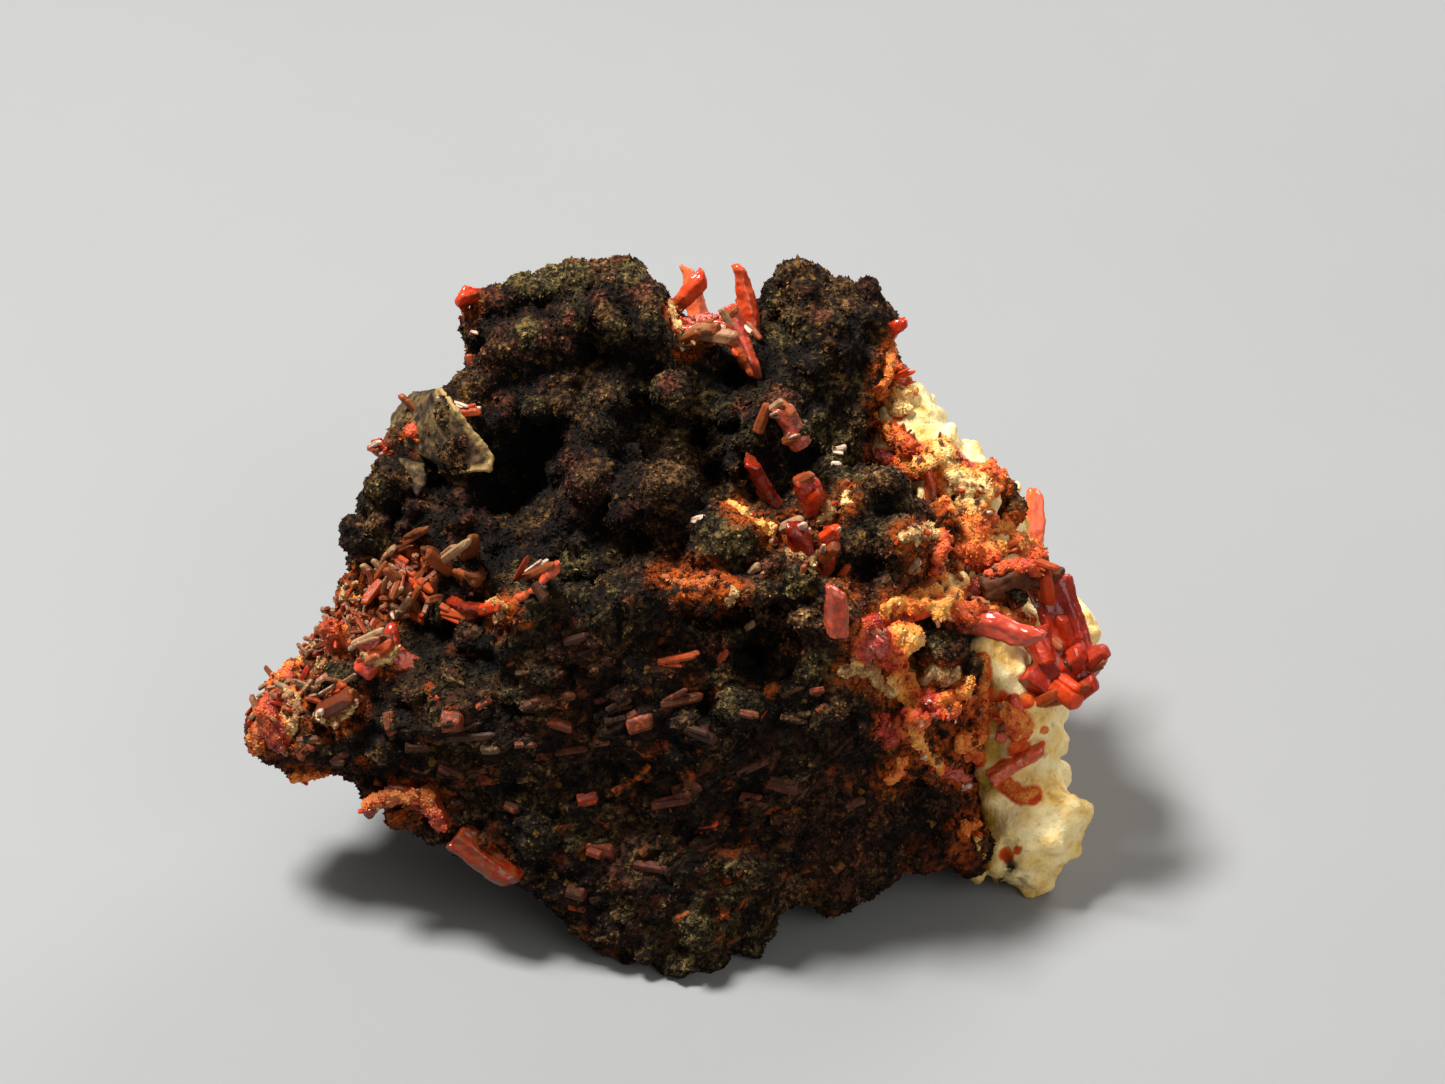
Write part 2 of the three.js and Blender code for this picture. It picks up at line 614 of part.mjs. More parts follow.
// Each entry is one crystal, or crystals that have grown together.
const crystals = {
  top_left_cap: [
    { foot: [-9.2, 16.8], tip: [-12, 16.5], width: 1.4, depth: 1.3, spin: 20, out: 0.4 },
    { foot: [-9.4, 16.2], tip: [-10.6, 17.6], width: 1.3, depth: 1.1, out: 0.2 },
  ],
  valley_leaning_prism: [
    { foot: [-0.8, 15.3], tip: [1.3, 17.8], rise: 0.8, width: 1.2, depth: 1, spin: 25, out: -1 },
  ],
  valley_far_prism: [{ foot: [1, 14], tip: [0.2, 18.3], width: 0.9, depth: 0.9, out: -5.5 }],
  valley_upright_prism: [
    { foot: [3.3, 15.2], tip: [3, 18.3], rise: 0.6, width: 1, depth: 0.9, spin: 40, out: -0.8 },
  ],
  valley_crossing_prism: [
    { foot: [-0.1, 14.6], tip: [3.1, 15.1], rise: 0.2, width: 1.3, depth: 1.1, spin: 20, out: 1.6 },
    { foot: [2.6, 15.4], tip: [3.6, 12.6], width: 1.2, depth: 1, out: 1.7 },
  ],
  knob_pink_crystal: [{ foot: [6, 9.3], tip: [5, 11.1], rise: 0.6, width: 1.3, depth: 1.1 }],
  red_blade: [{ foot: [4.7, 5.6], tip: [3.6, 7.9], rise: 1.4, width: 0.9, depth: 0.7 }],
  pink_block: [{ foot: [6.8, 5.5], tip: [6.4, 7.2], rise: 1.6, width: 1.8, depth: 1.3, spin: 30 }],
  round_red_crystal: [{ foot: [6.1, 3.1], tip: [6, 4.7], rise: 1.4, width: 1.5, depth: 1.2 }],
  small_red_block: [{ foot: [7.8, 2.9], tip: [7.8, 4.6], rise: 1, width: 1, depth: 0.9, spin: 45 }],
  pink_red_crystal: [{ foot: [8.1, -0.5], tip: [8, 1.5], rise: 0.8, width: 1.3, depth: 0.9 }],
  ledge_left_prism: [{ foot: [-8.4, 1.4], tip: [-6.4, 2.5], rise: 1.4, width: 0.8, depth: 0.8 }],
  spray_thin_rod: [{ foot: [-15, 3.5], tip: [-13.2, 4.5], rise: 0.8, width: 0.4, depth: 0.4 }],
  spray_pink_rod: [{ foot: [-12.4, 2.1], tip: [-13.6, 3.5], rise: 1.2, width: 0.6, depth: 0.6 }],
  spray_upright_rod: [{ foot: [-12.2, 2.8], tip: [-10.9, 3.9], rise: 2, width: 0.6, depth: 0.6 }],
  spray_short_rod: [{ foot: [-11.9, 2.1], tip: [-10.7, 1.5], rise: 1, width: 0.5, depth: 0.5 }],
  spray_curved_rod: [
    { foot: [-13.4, 1.2], tip: [-11, 0.1], rise: 0.8, width: 0.7, depth: 0.6 },
    { foot: [-11.4, 0.2], tip: [-9.2, 0.3], rise: 0.2, width: 0.6, depth: 0.6 },
  ],
  shoulder_block: [
    { foot: [-14.7, -2.4], tip: [-17, -1.2], width: 1.4, depth: 1.1, out: 3.6 },
    { foot: [-16.4, -2.6], tip: [-14.8, -0.8], rise: 0.3, width: 1.2, depth: 1, out: 3.3 },
  ],
  shoulder_orange_crystal: [
    { foot: [-18.1, -2], tip: [-18.5, -0.5], rise: 0.6, width: 0.9, depth: 0.8 },
  ],
  shoulder_rod: [{ foot: [-14.2, 0], tip: [-15.1, 2.2], rise: 0.8, width: 0.7, depth: 0.7 }],
  wing_glint_crystal: [
    { foot: [-18.9, -5.4], tip: [-17.1, -4.3], rise: 0.8, width: 1, depth: 0.8 },
  ],
  wing_edge_crystal: [{ foot: [-21.2, -6.4], tip: [-22, -5], rise: 0.4, width: 0.9, depth: 0.8 }],
  lip_rim_crystal: [
    { foot: [-16, -10.2], tip: [-14.4, -9.4], rise: 0.2, width: 0.8, depth: 1, out: 1.2 },
    { foot: [-14.7, -9.3], tip: [-13, -9.7], width: 0.8, depth: 1, out: 1.5 },
    { foot: [-13.2, -9.6], tip: [-12.4, -11.5], width: 0.7, depth: 1, out: 1.5 },
  ],
  lower_lip_prism: [{ foot: [-11.4, -12.2], tip: [-8.6, -14.3], width: 1.4, depth: 1.3, out: 1.6 }],
  back_salmon_prism: [{ foot: [18.5, 2.9], tip: [18.5, 6.6], width: 1.1, depth: 0.9, out: -11 }],
  long_red_prism: [
    { foot: [14, 0.6], tip: [18.9, -1.6], rise: 0.8, width: 1.5, depth: 1.2, spin: 20 },
  ],
  right_edge_cluster: [
    { foot: [19, 1], tip: [19.8, -2.1], width: 1.2, depth: 1.2, out: -0.8 },
    { foot: [19.9, 1.2], tip: [21, -2.4], width: 1.4, depth: 1.4, out: -1.2 },
    { foot: [19.2, -2.8], tip: [22.4, -2.6], width: 2.3, depth: 1.8, out: -1.2 },
    { foot: [18.9, -3.2], tip: [20.9, -4.7], width: 1.9, depth: 1.6, out: -0.8 },
    { foot: [18.7, -1.5], tip: [19.9, -3.9], width: 1.8, depth: 1.4, out: -0.5 },
  ],
  brown_wedge_crystal: [
    { foot: [16.4, 1.5], tip: [19.3, 2.7], width: 1.5, depth: 1.1, out: 0.4 },
    { foot: [18.5, 1.4], tip: [20.1, 2.2], width: 0.8, depth: 0.8, out: 0.2 },
  ],
  orange_rod: [{ foot: [13.1, 7.1], tip: [14.4, 4.7], width: 0.5, depth: 0.6, out: -0.4 }],
  arch_left_crystal: [{ foot: [9.6, -2.5], tip: [9.9, -0.5], rise: 0.8, width: 1.4, depth: 1.1 }],
  arch_inner_crystal: [{ foot: [10.8, -2.6], tip: [10.5, -0.9], rise: 1.2, width: 1, depth: 1 }],
  arch_crystal: [{ foot: [11.6, -0.4], tip: [13.9, 0.5], rise: 0.4, width: 0.9, depth: 0.8 }],
  limonite_red_arrow: [{ foot: [16.7, -8.4], tip: [19.2, -6.9], width: 1, depth: 1, out: -2 }],
  limonite_orange_crystal: [
    { foot: [16.8, -6.1], tip: [17.6, -4.5], rise: 1, width: 0.9, depth: 0.7 },
  ],
  band_red_crystal: [{ foot: [10.9, -6.5], tip: [12.5, -5.3], rise: 1.6, width: 0.9, depth: 0.8 }],
  band_pink_crystal: [{ foot: [12.4, -5.2], tip: [14.3, -4.6], rise: 0.6, width: 0.8, depth: 0.7 }],
  right_mass_tooth: [
    { foot: [10.5, 13.9], tip: [11.8, 15.4], rise: 0.6, width: 0.7, depth: 0.8, out: -2 },
  ],
  shoulder_red_tip: [{ foot: [-15, 8], tip: [-16.4, 8.9], width: 0.8, depth: 0.9, out: -1 }],
};

// Small crystals that the broken lower face has cut across: flush lumps, fused to the gossan.
const faceCrystals = [
  { foot: [-15.2, -6.3], tip: [-15.2, -5.2], width: 0.7 },
  { foot: [-12.2, -6.1], tip: [-12.2, -5], width: 1.3 },
  { foot: [-10.3, -7.2], tip: [-9.5, -7.3], width: 0.8 },
  { foot: [-8.6, -6.9], tip: [-7.7, -6.9], width: 0.6 },
  { foot: [-7.3, -4.5], tip: [-5.5, -4.2], width: 0.7 },
  { foot: [-6.9, -5.6], tip: [-5.7, -6], width: 0.9 },
  { foot: [-2.7, -5.8], tip: [-1.4, -5.5], width: 1.2 },
  { foot: [-0.5, -4.7], tip: [1.2, -4.2], width: 0.7 },
  { foot: [-5.3, -10], tip: [-4.4, -9.6], width: 0.9 },
  { foot: [-4.8, -12.5], tip: [-3.4, -12.8], width: 1.2 },
  { foot: [-0.2, -9.3], tip: [1, -8.9], width: 1.2 },
  { foot: [0.4, -6.1], tip: [2, -6.9], width: 1 },
  { foot: [1, -11.3], tip: [1.9, -11.1], width: 0.8 },
  { foot: [3.2, -5.1], tip: [4.1, -5.4], width: 0.7 },
  { foot: [-9.2, -10.2], tip: [-8.5, -10.2], width: 0.7 },
  { foot: [-12.6, -8], tip: [-11.7, -8.4], width: 0.7 },
  { foot: [-6, -14.7], tip: [-4.9, -14.9], width: 1 },
  { foot: [-0.4, -2.6], tip: [1, -2.2], width: 0.7 },
  { foot: [4.7, -8.9], tip: [6.1, -9.4], width: 0.9 },
  { foot: [-6, -1.5], tip: [-4.9, -1.2], width: 0.7 },
  { foot: [3.2, -9.8], tip: [4.6, -10.2], width: 0.8 },
  { foot: [-2.2, -14], tip: [-1.3, -13.6], width: 0.8 },
  { foot: [3.1, -12.9], tip: [4.1, -13.3], width: 0.9 },
  { foot: [6.2, -4.6], tip: [7.2, -4.2], width: 0.7 },
];

// ---- assembly ----

const STONE = { roughness: 0.95, metalness: 0 };
const gossanMaterial = new THREE.MeshStandardMaterial({ color: 0x1c1613, ...STONE });
const limoniteMaterial = new THREE.MeshStandardMaterial({ color: 0xd9c27a, ...STONE });
const crocoiteMaterial = new THREE.MeshStandardMaterial({
  color: 0xc8320c,
  roughness: 0.25,
  metalness: 0,
});

function named(name, solid, material) {
  const mesh = new THREE.Mesh(geometryFrom(solid), material);
  mesh.name = name;
  return mesh;
}

const flushCrystals = joined(
  faceCrystals.map((crystal) => prism({ ...crystal, depth: FACE_CRYSTAL_DEPTH })),
);
const gossan = bareGossan.add(flushCrystals).subtract(ground);

const specimen = new THREE.Group();
specimen.add(named("black_gossan", mainBody(gossan), gossanMaterial));
specimen.add(named("pale_limonite", mainBody(limonite), limoniteMaterial));
for (const [name, members] of Object.entries(crystals)) {
  const crystal = joined(members.map(prism)).subtract(rockSkin).subtract(ground);
  specimen.add(named(name, mainBody(crystal), crocoiteMaterial));
}

specimen.position.copy(FOOTPRINT_MIDDLE).negate();

export default specimen;
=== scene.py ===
import json
import math

import bmesh
import bpy
import numpy as np
from mathutils import Matrix, Vector, noise
from mathutils.bvhtree import BVHTree
from mathutils.kdtree import KDTree


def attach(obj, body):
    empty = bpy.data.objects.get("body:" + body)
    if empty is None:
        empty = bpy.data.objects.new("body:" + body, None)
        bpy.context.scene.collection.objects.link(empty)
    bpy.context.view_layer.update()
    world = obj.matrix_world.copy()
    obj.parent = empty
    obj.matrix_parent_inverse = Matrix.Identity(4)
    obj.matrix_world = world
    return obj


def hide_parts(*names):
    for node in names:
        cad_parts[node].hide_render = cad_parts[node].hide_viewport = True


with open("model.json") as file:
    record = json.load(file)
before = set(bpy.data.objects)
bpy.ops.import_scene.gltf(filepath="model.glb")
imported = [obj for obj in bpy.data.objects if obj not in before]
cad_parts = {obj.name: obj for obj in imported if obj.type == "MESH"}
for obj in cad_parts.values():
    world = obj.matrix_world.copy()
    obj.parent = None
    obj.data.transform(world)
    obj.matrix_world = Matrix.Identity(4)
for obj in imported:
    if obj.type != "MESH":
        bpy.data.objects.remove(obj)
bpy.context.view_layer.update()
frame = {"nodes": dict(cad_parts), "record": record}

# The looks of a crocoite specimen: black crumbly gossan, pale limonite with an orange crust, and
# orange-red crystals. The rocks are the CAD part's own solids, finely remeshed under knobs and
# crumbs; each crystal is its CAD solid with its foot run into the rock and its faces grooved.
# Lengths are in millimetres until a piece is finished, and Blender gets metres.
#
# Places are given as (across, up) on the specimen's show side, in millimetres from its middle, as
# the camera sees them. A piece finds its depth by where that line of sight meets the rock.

MM = 0.001

rng = np.random.default_rng(seed=11)

# ---- the show side and the camera's eye ----

SHOW_TILT = math.radians(36)  # how far the show side is tipped back from upright
SHOW_CENTRE = Vector((0.3, -3.2, 15.2))
ACROSS = Vector((1, 0, 0))
UP = Vector((0, math.sin(SHOW_TILT), math.cos(SHOW_TILT)))
OUT = Vector((0, -math.cos(SHOW_TILT), math.sin(SHOW_TILT)))
SHOW_FRAME = np.array([ACROSS, UP, OUT]).T
EYE_PLACE = (2.1, 3.7)
EYE_OUT = 300
FRAME_WIDTH = 75.6  # what the picture takes in, across the middle of the show side


def on_show(across, up, out):
    return SHOW_CENTRE + ACROSS * across + UP * up + OUT * out


EYE = on_show(*EYE_PLACE, EYE_OUT)


def sighted(place, out):
    """The point that far out of the show side which the eye sees at (across, up)."""
    target = on_show(*place, 0)
    return EYE.lerp(target, (EYE_OUT - out) / EYE_OUT)


def place_of(points):
    """The (across, up) at which the eye sees each point, as an array of two columns."""
    offset = points - np.array(EYE)
    near = EYE_OUT / -(offset @ np.array(OUT))
    across = EYE_PLACE[0] + offset @ np.array(ACROSS) * near
    up = EYE_PLACE[1] + offset @ np.array(UP) * near
    return np.stack([across, up], axis=1)


def out_of(points):
    """How far each point lies out of the show side's middle plane."""
    return (np.array(points) - np.array(SHOW_CENTRE)) @ np.array(OUT)


def outward(normals):
    """How squarely each normal faces out of the show side, from -1 to 1."""
    return normals @ np.array(OUT)


def along(places, step):
    """Places at even steps along a line through some places."""
    found = [places[0]]
    for start, end in zip(places, places[1:]):
        count = max(1, round(math.dist(start, end) / step))
        leg = np.array(end) - start
        found += [tuple(start + leg * i / count) for i in range(1, count + 1)]
    return found


# ---- meshes ----


def cad_bmesh(*nodes):
    """The solids of some CAD nodes, in millimetres."""
    bm = bmesh.new()
    for name in nodes:
        bm.from_mesh(frame["nodes"][name].data)
    bmesh.ops.scale(bm, vec=(1 / MM,) * 3, verts=bm.verts)
    bmesh.ops.remove_doubles(bm, verts=bm.verts, dist=1e-4)
    return bm


def bmesh_of(*objects):
    bm = bmesh.new()
    for obj in objects:
        bm.from_mesh(obj.data)
    return bm


def linked(name, data):
    """A new object that holds some data, in the scene."""
    obj = bpy.data.objects.new(name, data)
    bpy.context.collection.objects.link(obj)
    return obj


def object_from(bm, name):
    mesh = bpy.data.meshes.new(name)
    bm.to_mesh(mesh)
    bm.free()
    return linked(name, mesh)


def joined(name, *objects):
    bm = bmesh_of(*objects)
    for obj in objects:
        bpy.data.objects.remove(obj)
    return object_from(bm, name)


def surface(bm):
    """What a line of sight meets."""
    tree = BVHTree.FromBMesh(bm)
    bm.free()
    return tree


def applied(obj):
    """The object with its modifiers worked into its mesh."""
    evaluated = obj.evaluated_get(bpy.context.evaluated_depsgraph_get())
    mesh = bpy.data.meshes.new_from_object(evaluated)
    obj.modifiers.clear()
    obj.data = mesh
    return obj


def worn(obj, iterations):
    """The object with its edges and lumps worn smooth."""
    smooth = obj.modifiers.new("smooth", "SMOOTH")
    smooth.factor = 0.5
    smooth.iterations = iterations
    return applied(obj)


def remeshed(obj, voxel, smoothing):
    """One even skin over everything in the object."""
    remesh = obj.modifiers.new("remesh", "REMESH")
    remesh.mode = "VOXEL"
    remesh.voxel_size = voxel
    return worn(obj, smoothing)


def points_of(obj):
    points = np.empty(len(obj.data.vertices) * 3)
    obj.data.vertices.foreach_get("co", points)
    return points.reshape(-1, 3)


def normals_of(obj):
    normals = np.empty(len(obj.data.vertices) * 3, np.float32)
    obj.data.vertex_normals.foreach_get("vector", normals)
    return normals.reshape(-1, 3)


def set_points(obj, points):
    obj.data.vertices.foreach_set("co", points.astype(np.float32).ravel())
    obj.data.update()


def raised(obj, heights):
    """Moves each corner out along its normal, but never below the ground."""
    points = points_of(obj) + normals_of(obj) * heights[:, None]
    points[:, 2] = np.maximum(points[:, 2], 0)
    set_points(obj, points)


def paint(obj, name, values):
    """Stores one number for each corner, for the material to read."""
    attributes = obj.data.attributes
    attribute = attributes.get(name) or attributes.new(name, "FLOAT", "POINT")
    attribute.data.foreach_set("value", values.astype(np.float32))


def painted(obj, name):
    values = np.empty(len(obj.data.vertices), np.float32)
    obj.data.attributes[name].data.foreach_get("value", values)
    return values


def paint_grain(obj, own):
    """Stores each corner's place in its crystal's own frame, with the length along Z."""
    attribute = obj.data.attributes.new("grain", "FLOAT_VECTOR", "POINT")
    attribute.data.foreach_set("vector", own.astype(np.float32).ravel())


def relief_of(obj, iterations):
    """How far each corner stands above the worn surface: tops above 0, creases below."""
    smooth = worn(linked("worn", obj.data.copy()), iterations)
    relief = np.einsum("nx,nx->n", points_of(obj) - points_of(smooth), normals_of(smooth))
    bpy.data.objects.remove(smooth)
    return relief


EDGE_STEPS = (0, 0.25, 0.5, 0.8, 1.2)  # a place past the outline is moved in by the first that meets it


def seat(tree, place):
    """The point and normal that the eye sees at a place, or just inside the outline from it."""
    for step in EDGE_STEPS:
        nearer = Vector(place) * (1 - step / math.hypot(*place))
        hit, normal, _, _ = tree.ray_cast(EYE, (sighted(nearer, 0) - EYE).normalized())
        if hit is not None:
            return hit, normal
    return tree.find_nearest(sighted(place, 0))[:2]


def finished(obj, material, slot, *nodes, smooth=True):
    """Turns a piece to metres, gives it its material, hangs it under the root and hides the CAD nodes given.
    """
    obj.data.transform(Matrix.Scale(MM, 4))
    if smooth:
        obj.data.shade_smooth()
    else:
        obj.data.shade_flat()
    obj.data.materials.clear()
    obj.data.materials.append(material)
    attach(obj, "root")
    if nodes:
        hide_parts(*nodes)


# ---- many copies of a small shape ----


def taken_apart(bm):
    """A small shape as (points, faces)."""
    bm.verts.index_update()
    shape = (np.array([v.co for v in bm.verts]), [[v.index for v in f.verts] for f in bm.faces])
    bm.free()
    return shape


def hull(corners, rounding=0):
    """The small closed shape that some corners span, with its edges cut back by a rounding."""
    bm = bmesh.new()
    for corner in corners:
        bm.verts.new(corner)
    bmesh.ops.convex_hull(bm, input=bm.verts)
    bmesh.ops.dissolve_limit(bm, angle_limit=0.02, verts=bm.verts, edges=bm.edges)
    if rounding:
        edges = bm.edges[:]
        bmesh.ops.bevel(bm, geom=edges, offset=rounding, segments=1, affect="EDGES", clamp_overlap=True)
    return taken_apart(bm)


def ball(subdivisions):
    bm = bmesh.new()
    bmesh.ops.create_icosphere(bm, subdivisions=subdivisions, radius=1)
    return taken_apart(bm)


PRISM_SECTION = [(1, 0.3), (0.35, 1), (-0.8, 0.75), (-1, -0.3), (-0.35, -1), (0.8, -0.75)]
PRISM_FOOT = -0.2  # it starts a little inside what it stands on
GRAIN_SHIFT = 50  # so far apart that no two copies have the same grain
UNEVENNESS = (0.75, 1.2)
GRAIN_CORNERS = [(1, 0, -0.3), (-0.5, 0.85, -0.35), (-0.5, -0.85, -0.35), (0.1, 0, 1)]


def prism(rounding=0):
    """A six-sided prism one long and one wide, foot down, with a slanting end."""
    corners = []
    for x, y in PRISM_SECTION:
        corners.append((x / 2, y / 2, PRISM_FOOT))
        corners.append((x * 0.45, y * 0.45, 0.84 - 0.06 * x + 0.05 * y))
    corners += [(-0.15, -0.15, 1), (-0.15, 0.15, 0.95)]
    return hull(corners, rounding)


def random_turns(count):
    """Evenly random rotations, as 3 × 3 matrices."""
    q = rng.normal(size=(4, count))
    w, x, y, z = q / np.linalg.norm(q, axis=0)
    rows = [
        [1 - 2 * (y * y + z * z), 2 * (x * y - z * w), 2 * (x * z + y * w)],
        [2 * (x * y + z * w), 1 - 2 * (x * x + z * z), 2 * (y * z - x * w)],
        [2 * (x * z - y * w), 2 * (y * z + x * w), 1 - 2 * (x * x + y * y)],
    ]
    return np.array(rows).transpose(2, 0, 1)


def turns_along(directions):
    """Rotations that take +Z to each direction, with a random spin about it."""
    z = directions / np.linalg.norm(directions, axis=1)[:, None]
    x = np.cross(z, rng.normal(size=z.shape))
    x /= np.linalg.norm(x, axis=1)[:, None]
    return np.stack([x, np.cross(z, x), z], axis=2)


def flattened(directions, normals, share=1):
    """Directions laid down along a surface, wholly or by a share."""
    return directions - normals * np.einsum("nx,nx->n", directions, normals)[:, None] * share


def copies(name, shape, centres, turns, sizes, **paints):
    """One joined mesh of a shape's copies, each scaled along its own axes, turned and placed.
    paints are one number for each copy."""
    points, faces = shape
    own = points[None] * sizes[:, None]
    placed = np.einsum("nij,npj->npi", turns, own) + centres[:, None]
    starts = range(0, len(centres) * len(points), len(points))
    all_faces = [tuple(start + i for i in face) for start in starts for face in faces]
    mesh = bpy.data.meshes.new(name)
    mesh.from_pydata(placed.reshape(-1, 3).tolist(), [], all_faces)
    obj = linked(name, mesh)
    shifts = rng.uniform(0, GRAIN_SHIFT, size=(len(centres), 1, 3))
    paint_grain(obj, (own + shifts).reshape(-1, 3))
    for paint_name, values in paints.items():
        paint(obj, paint_name, np.repeat(values, len(points)))
    return obj


def lump(radii):
    """Uneven sizes for rounded lumps of some radii."""
    return radii[:, None] * rng.uniform(*UNEVENNESS, (len(radii), 3))


def grains(name, shape, centres, radii, **paints):
    """Uneven copies of a shape, turned every way."""
    return copies(name, shape, centres, random_turns(len(centres)), lump(radii), **paints)


def placed_knobs(name, tree, rows):
    """Rounded knobs set on a rock from a list, each turned about the show side's OUT direction."""
    centres = [seat(tree, place)[0] + OUT * (stand - radii[2]) for place, radii, stand, _ in rows]
    turns = [SHOW_FRAME @ np.array(Matrix.Rotation(math.radians(turn), 3, "Z")) for *_, turn in rows]
    sizes = [radii for _, radii, _, _ in rows]
    return copies(name, ball(3), np.array(centres), np.array(turns), np.array(sizes))


def sampled(obj, count, chance=None):
    """Random places on a surface, even by area: the points, the normals there and the numbers of
    a corner near each. chance gives how likely each place is to be kept."""
    obj.data.calc_loop_triangles()
    corners = np.empty(len(obj.data.loop_triangles) * 3, np.int32)
    obj.data.loop_triangles.foreach_get("vertices", corners)
    corners = corners.reshape(-1, 3)
    points, normals = points_of(obj), normals_of(obj)
    a, b, c = (points[corners[:, i]] for i in range(3))
    area = np.linalg.norm(np.cross(b - a, c - a), axis=1)
    chosen = corners[rng.choice(len(area), count, p=area / area.sum())]
    share = rng.dirichlet((1, 1, 1), count)
    found = np.einsum("nc,ncx->nx", share, points[chosen])
    facing = np.einsum("nc,ncx->nx", share, normals[chosen])
    facing /= np.linalg.norm(facing, axis=1)[:, None]
    near = chosen[:, 0]
    if chance is not None:
        kept = rng.random(count) < chance(found, facing)
        found, facing, near = found[kept], facing[kept], near[kept]
    return found, facing, near


# ---- relief and patches ----

LUMP_LEVEL = 0.7  # the height in a packed lump that keeps the surface where it was
NEIGHBOURS = 5  # how many middles a blend takes in


def each(points, size, seed, function):
    """function of every point, with lengths in units of size."""
    return np.array([function(Vector(p)) for p in points / size + seed])


def lumps(points, size, seed):
    """Packed rounded lumps of that size, with their tops 1 above their creases."""
    return each(points, size, seed, lambda p: 1 - min(1, noise.voronoi(p)[0][0]) ** 2) - LUMP_LEVEL


def waves(points, size, seed):
    return each(points, size, seed, lambda p: noise.fractal(p, 0.8, 2.1, 3))


def relief(points, layers):
    """Heights at each point: layers are (pattern, height, size of its features, seed)."""
    heights = np.zeros(len(points))
    for pattern, height, size, seed in layers:
        heights += height * pattern(points, size, seed)
    return heights


def smoothstep(low, high, values):
    t = np.clip((values - low) / (high - low), 0, 1)
    return t * t * (3 - 2 * t)


def away(place, spot, radius):
    """How far each place is from a spot, in units of a radius."""
    return np.hypot(place[:, 0] - spot[0], place[:, 1] - spot[1]) / radius


def strengths(rows, place):
    """How strongly each place lies in each of some round patches: wholly within half the radius,
    and not at all a little beyond it. Rows start with (spot, radius)."""
    return np.array([np.clip(1.6 - away(place, *row[:2]) * 1.3, 0, 1) for row in rows])


def within(rows, place):
    """How strongly each place lies in the strongest of some round patches."""
    return strengths(rows, place).max(axis=0)


def tree_of(middles):
    tree = KDTree(len(middles))
    for i, middle in enumerate(middles):
        tree.insert(middle, i)
    tree.balance()
    return tree


def nearest_of(points, middles):
    """For each point, the number of the nearest middle and how far away it is."""
    tree = tree_of(middles)
    found = [tree.find(Vector(p))[1:] for p in points]
    return np.array([i for i, _ in found]), np.array([distance for _, distance in found])


def blended(points, middles, values):
    """At each point, the values of the middles round it, the nearest of them counting most."""
    tree = tree_of(middles)
    found = np.empty(len(points))
    for i, point in enumerate(points):
        _, numbers, distances = zip(*tree.find_n(point, NEIGHBOURS))
        weights = (np.array(distances) + 0.05) ** -3
        found[i] = np.take(values, numbers) @ weights / weights.sum()
    return found


# ---- materials ----


def rgb(code):
    """A colour from its sRGB hex code, as Blender wants it."""
    parts = [int(code[i : i + 2], 16) / 255 for i in (1, 3, 5)]
    return (*[((c + 0.055) / 1.055) ** 2.4 if c > 0.04045 else c / 12.92 for c in parts], 1)


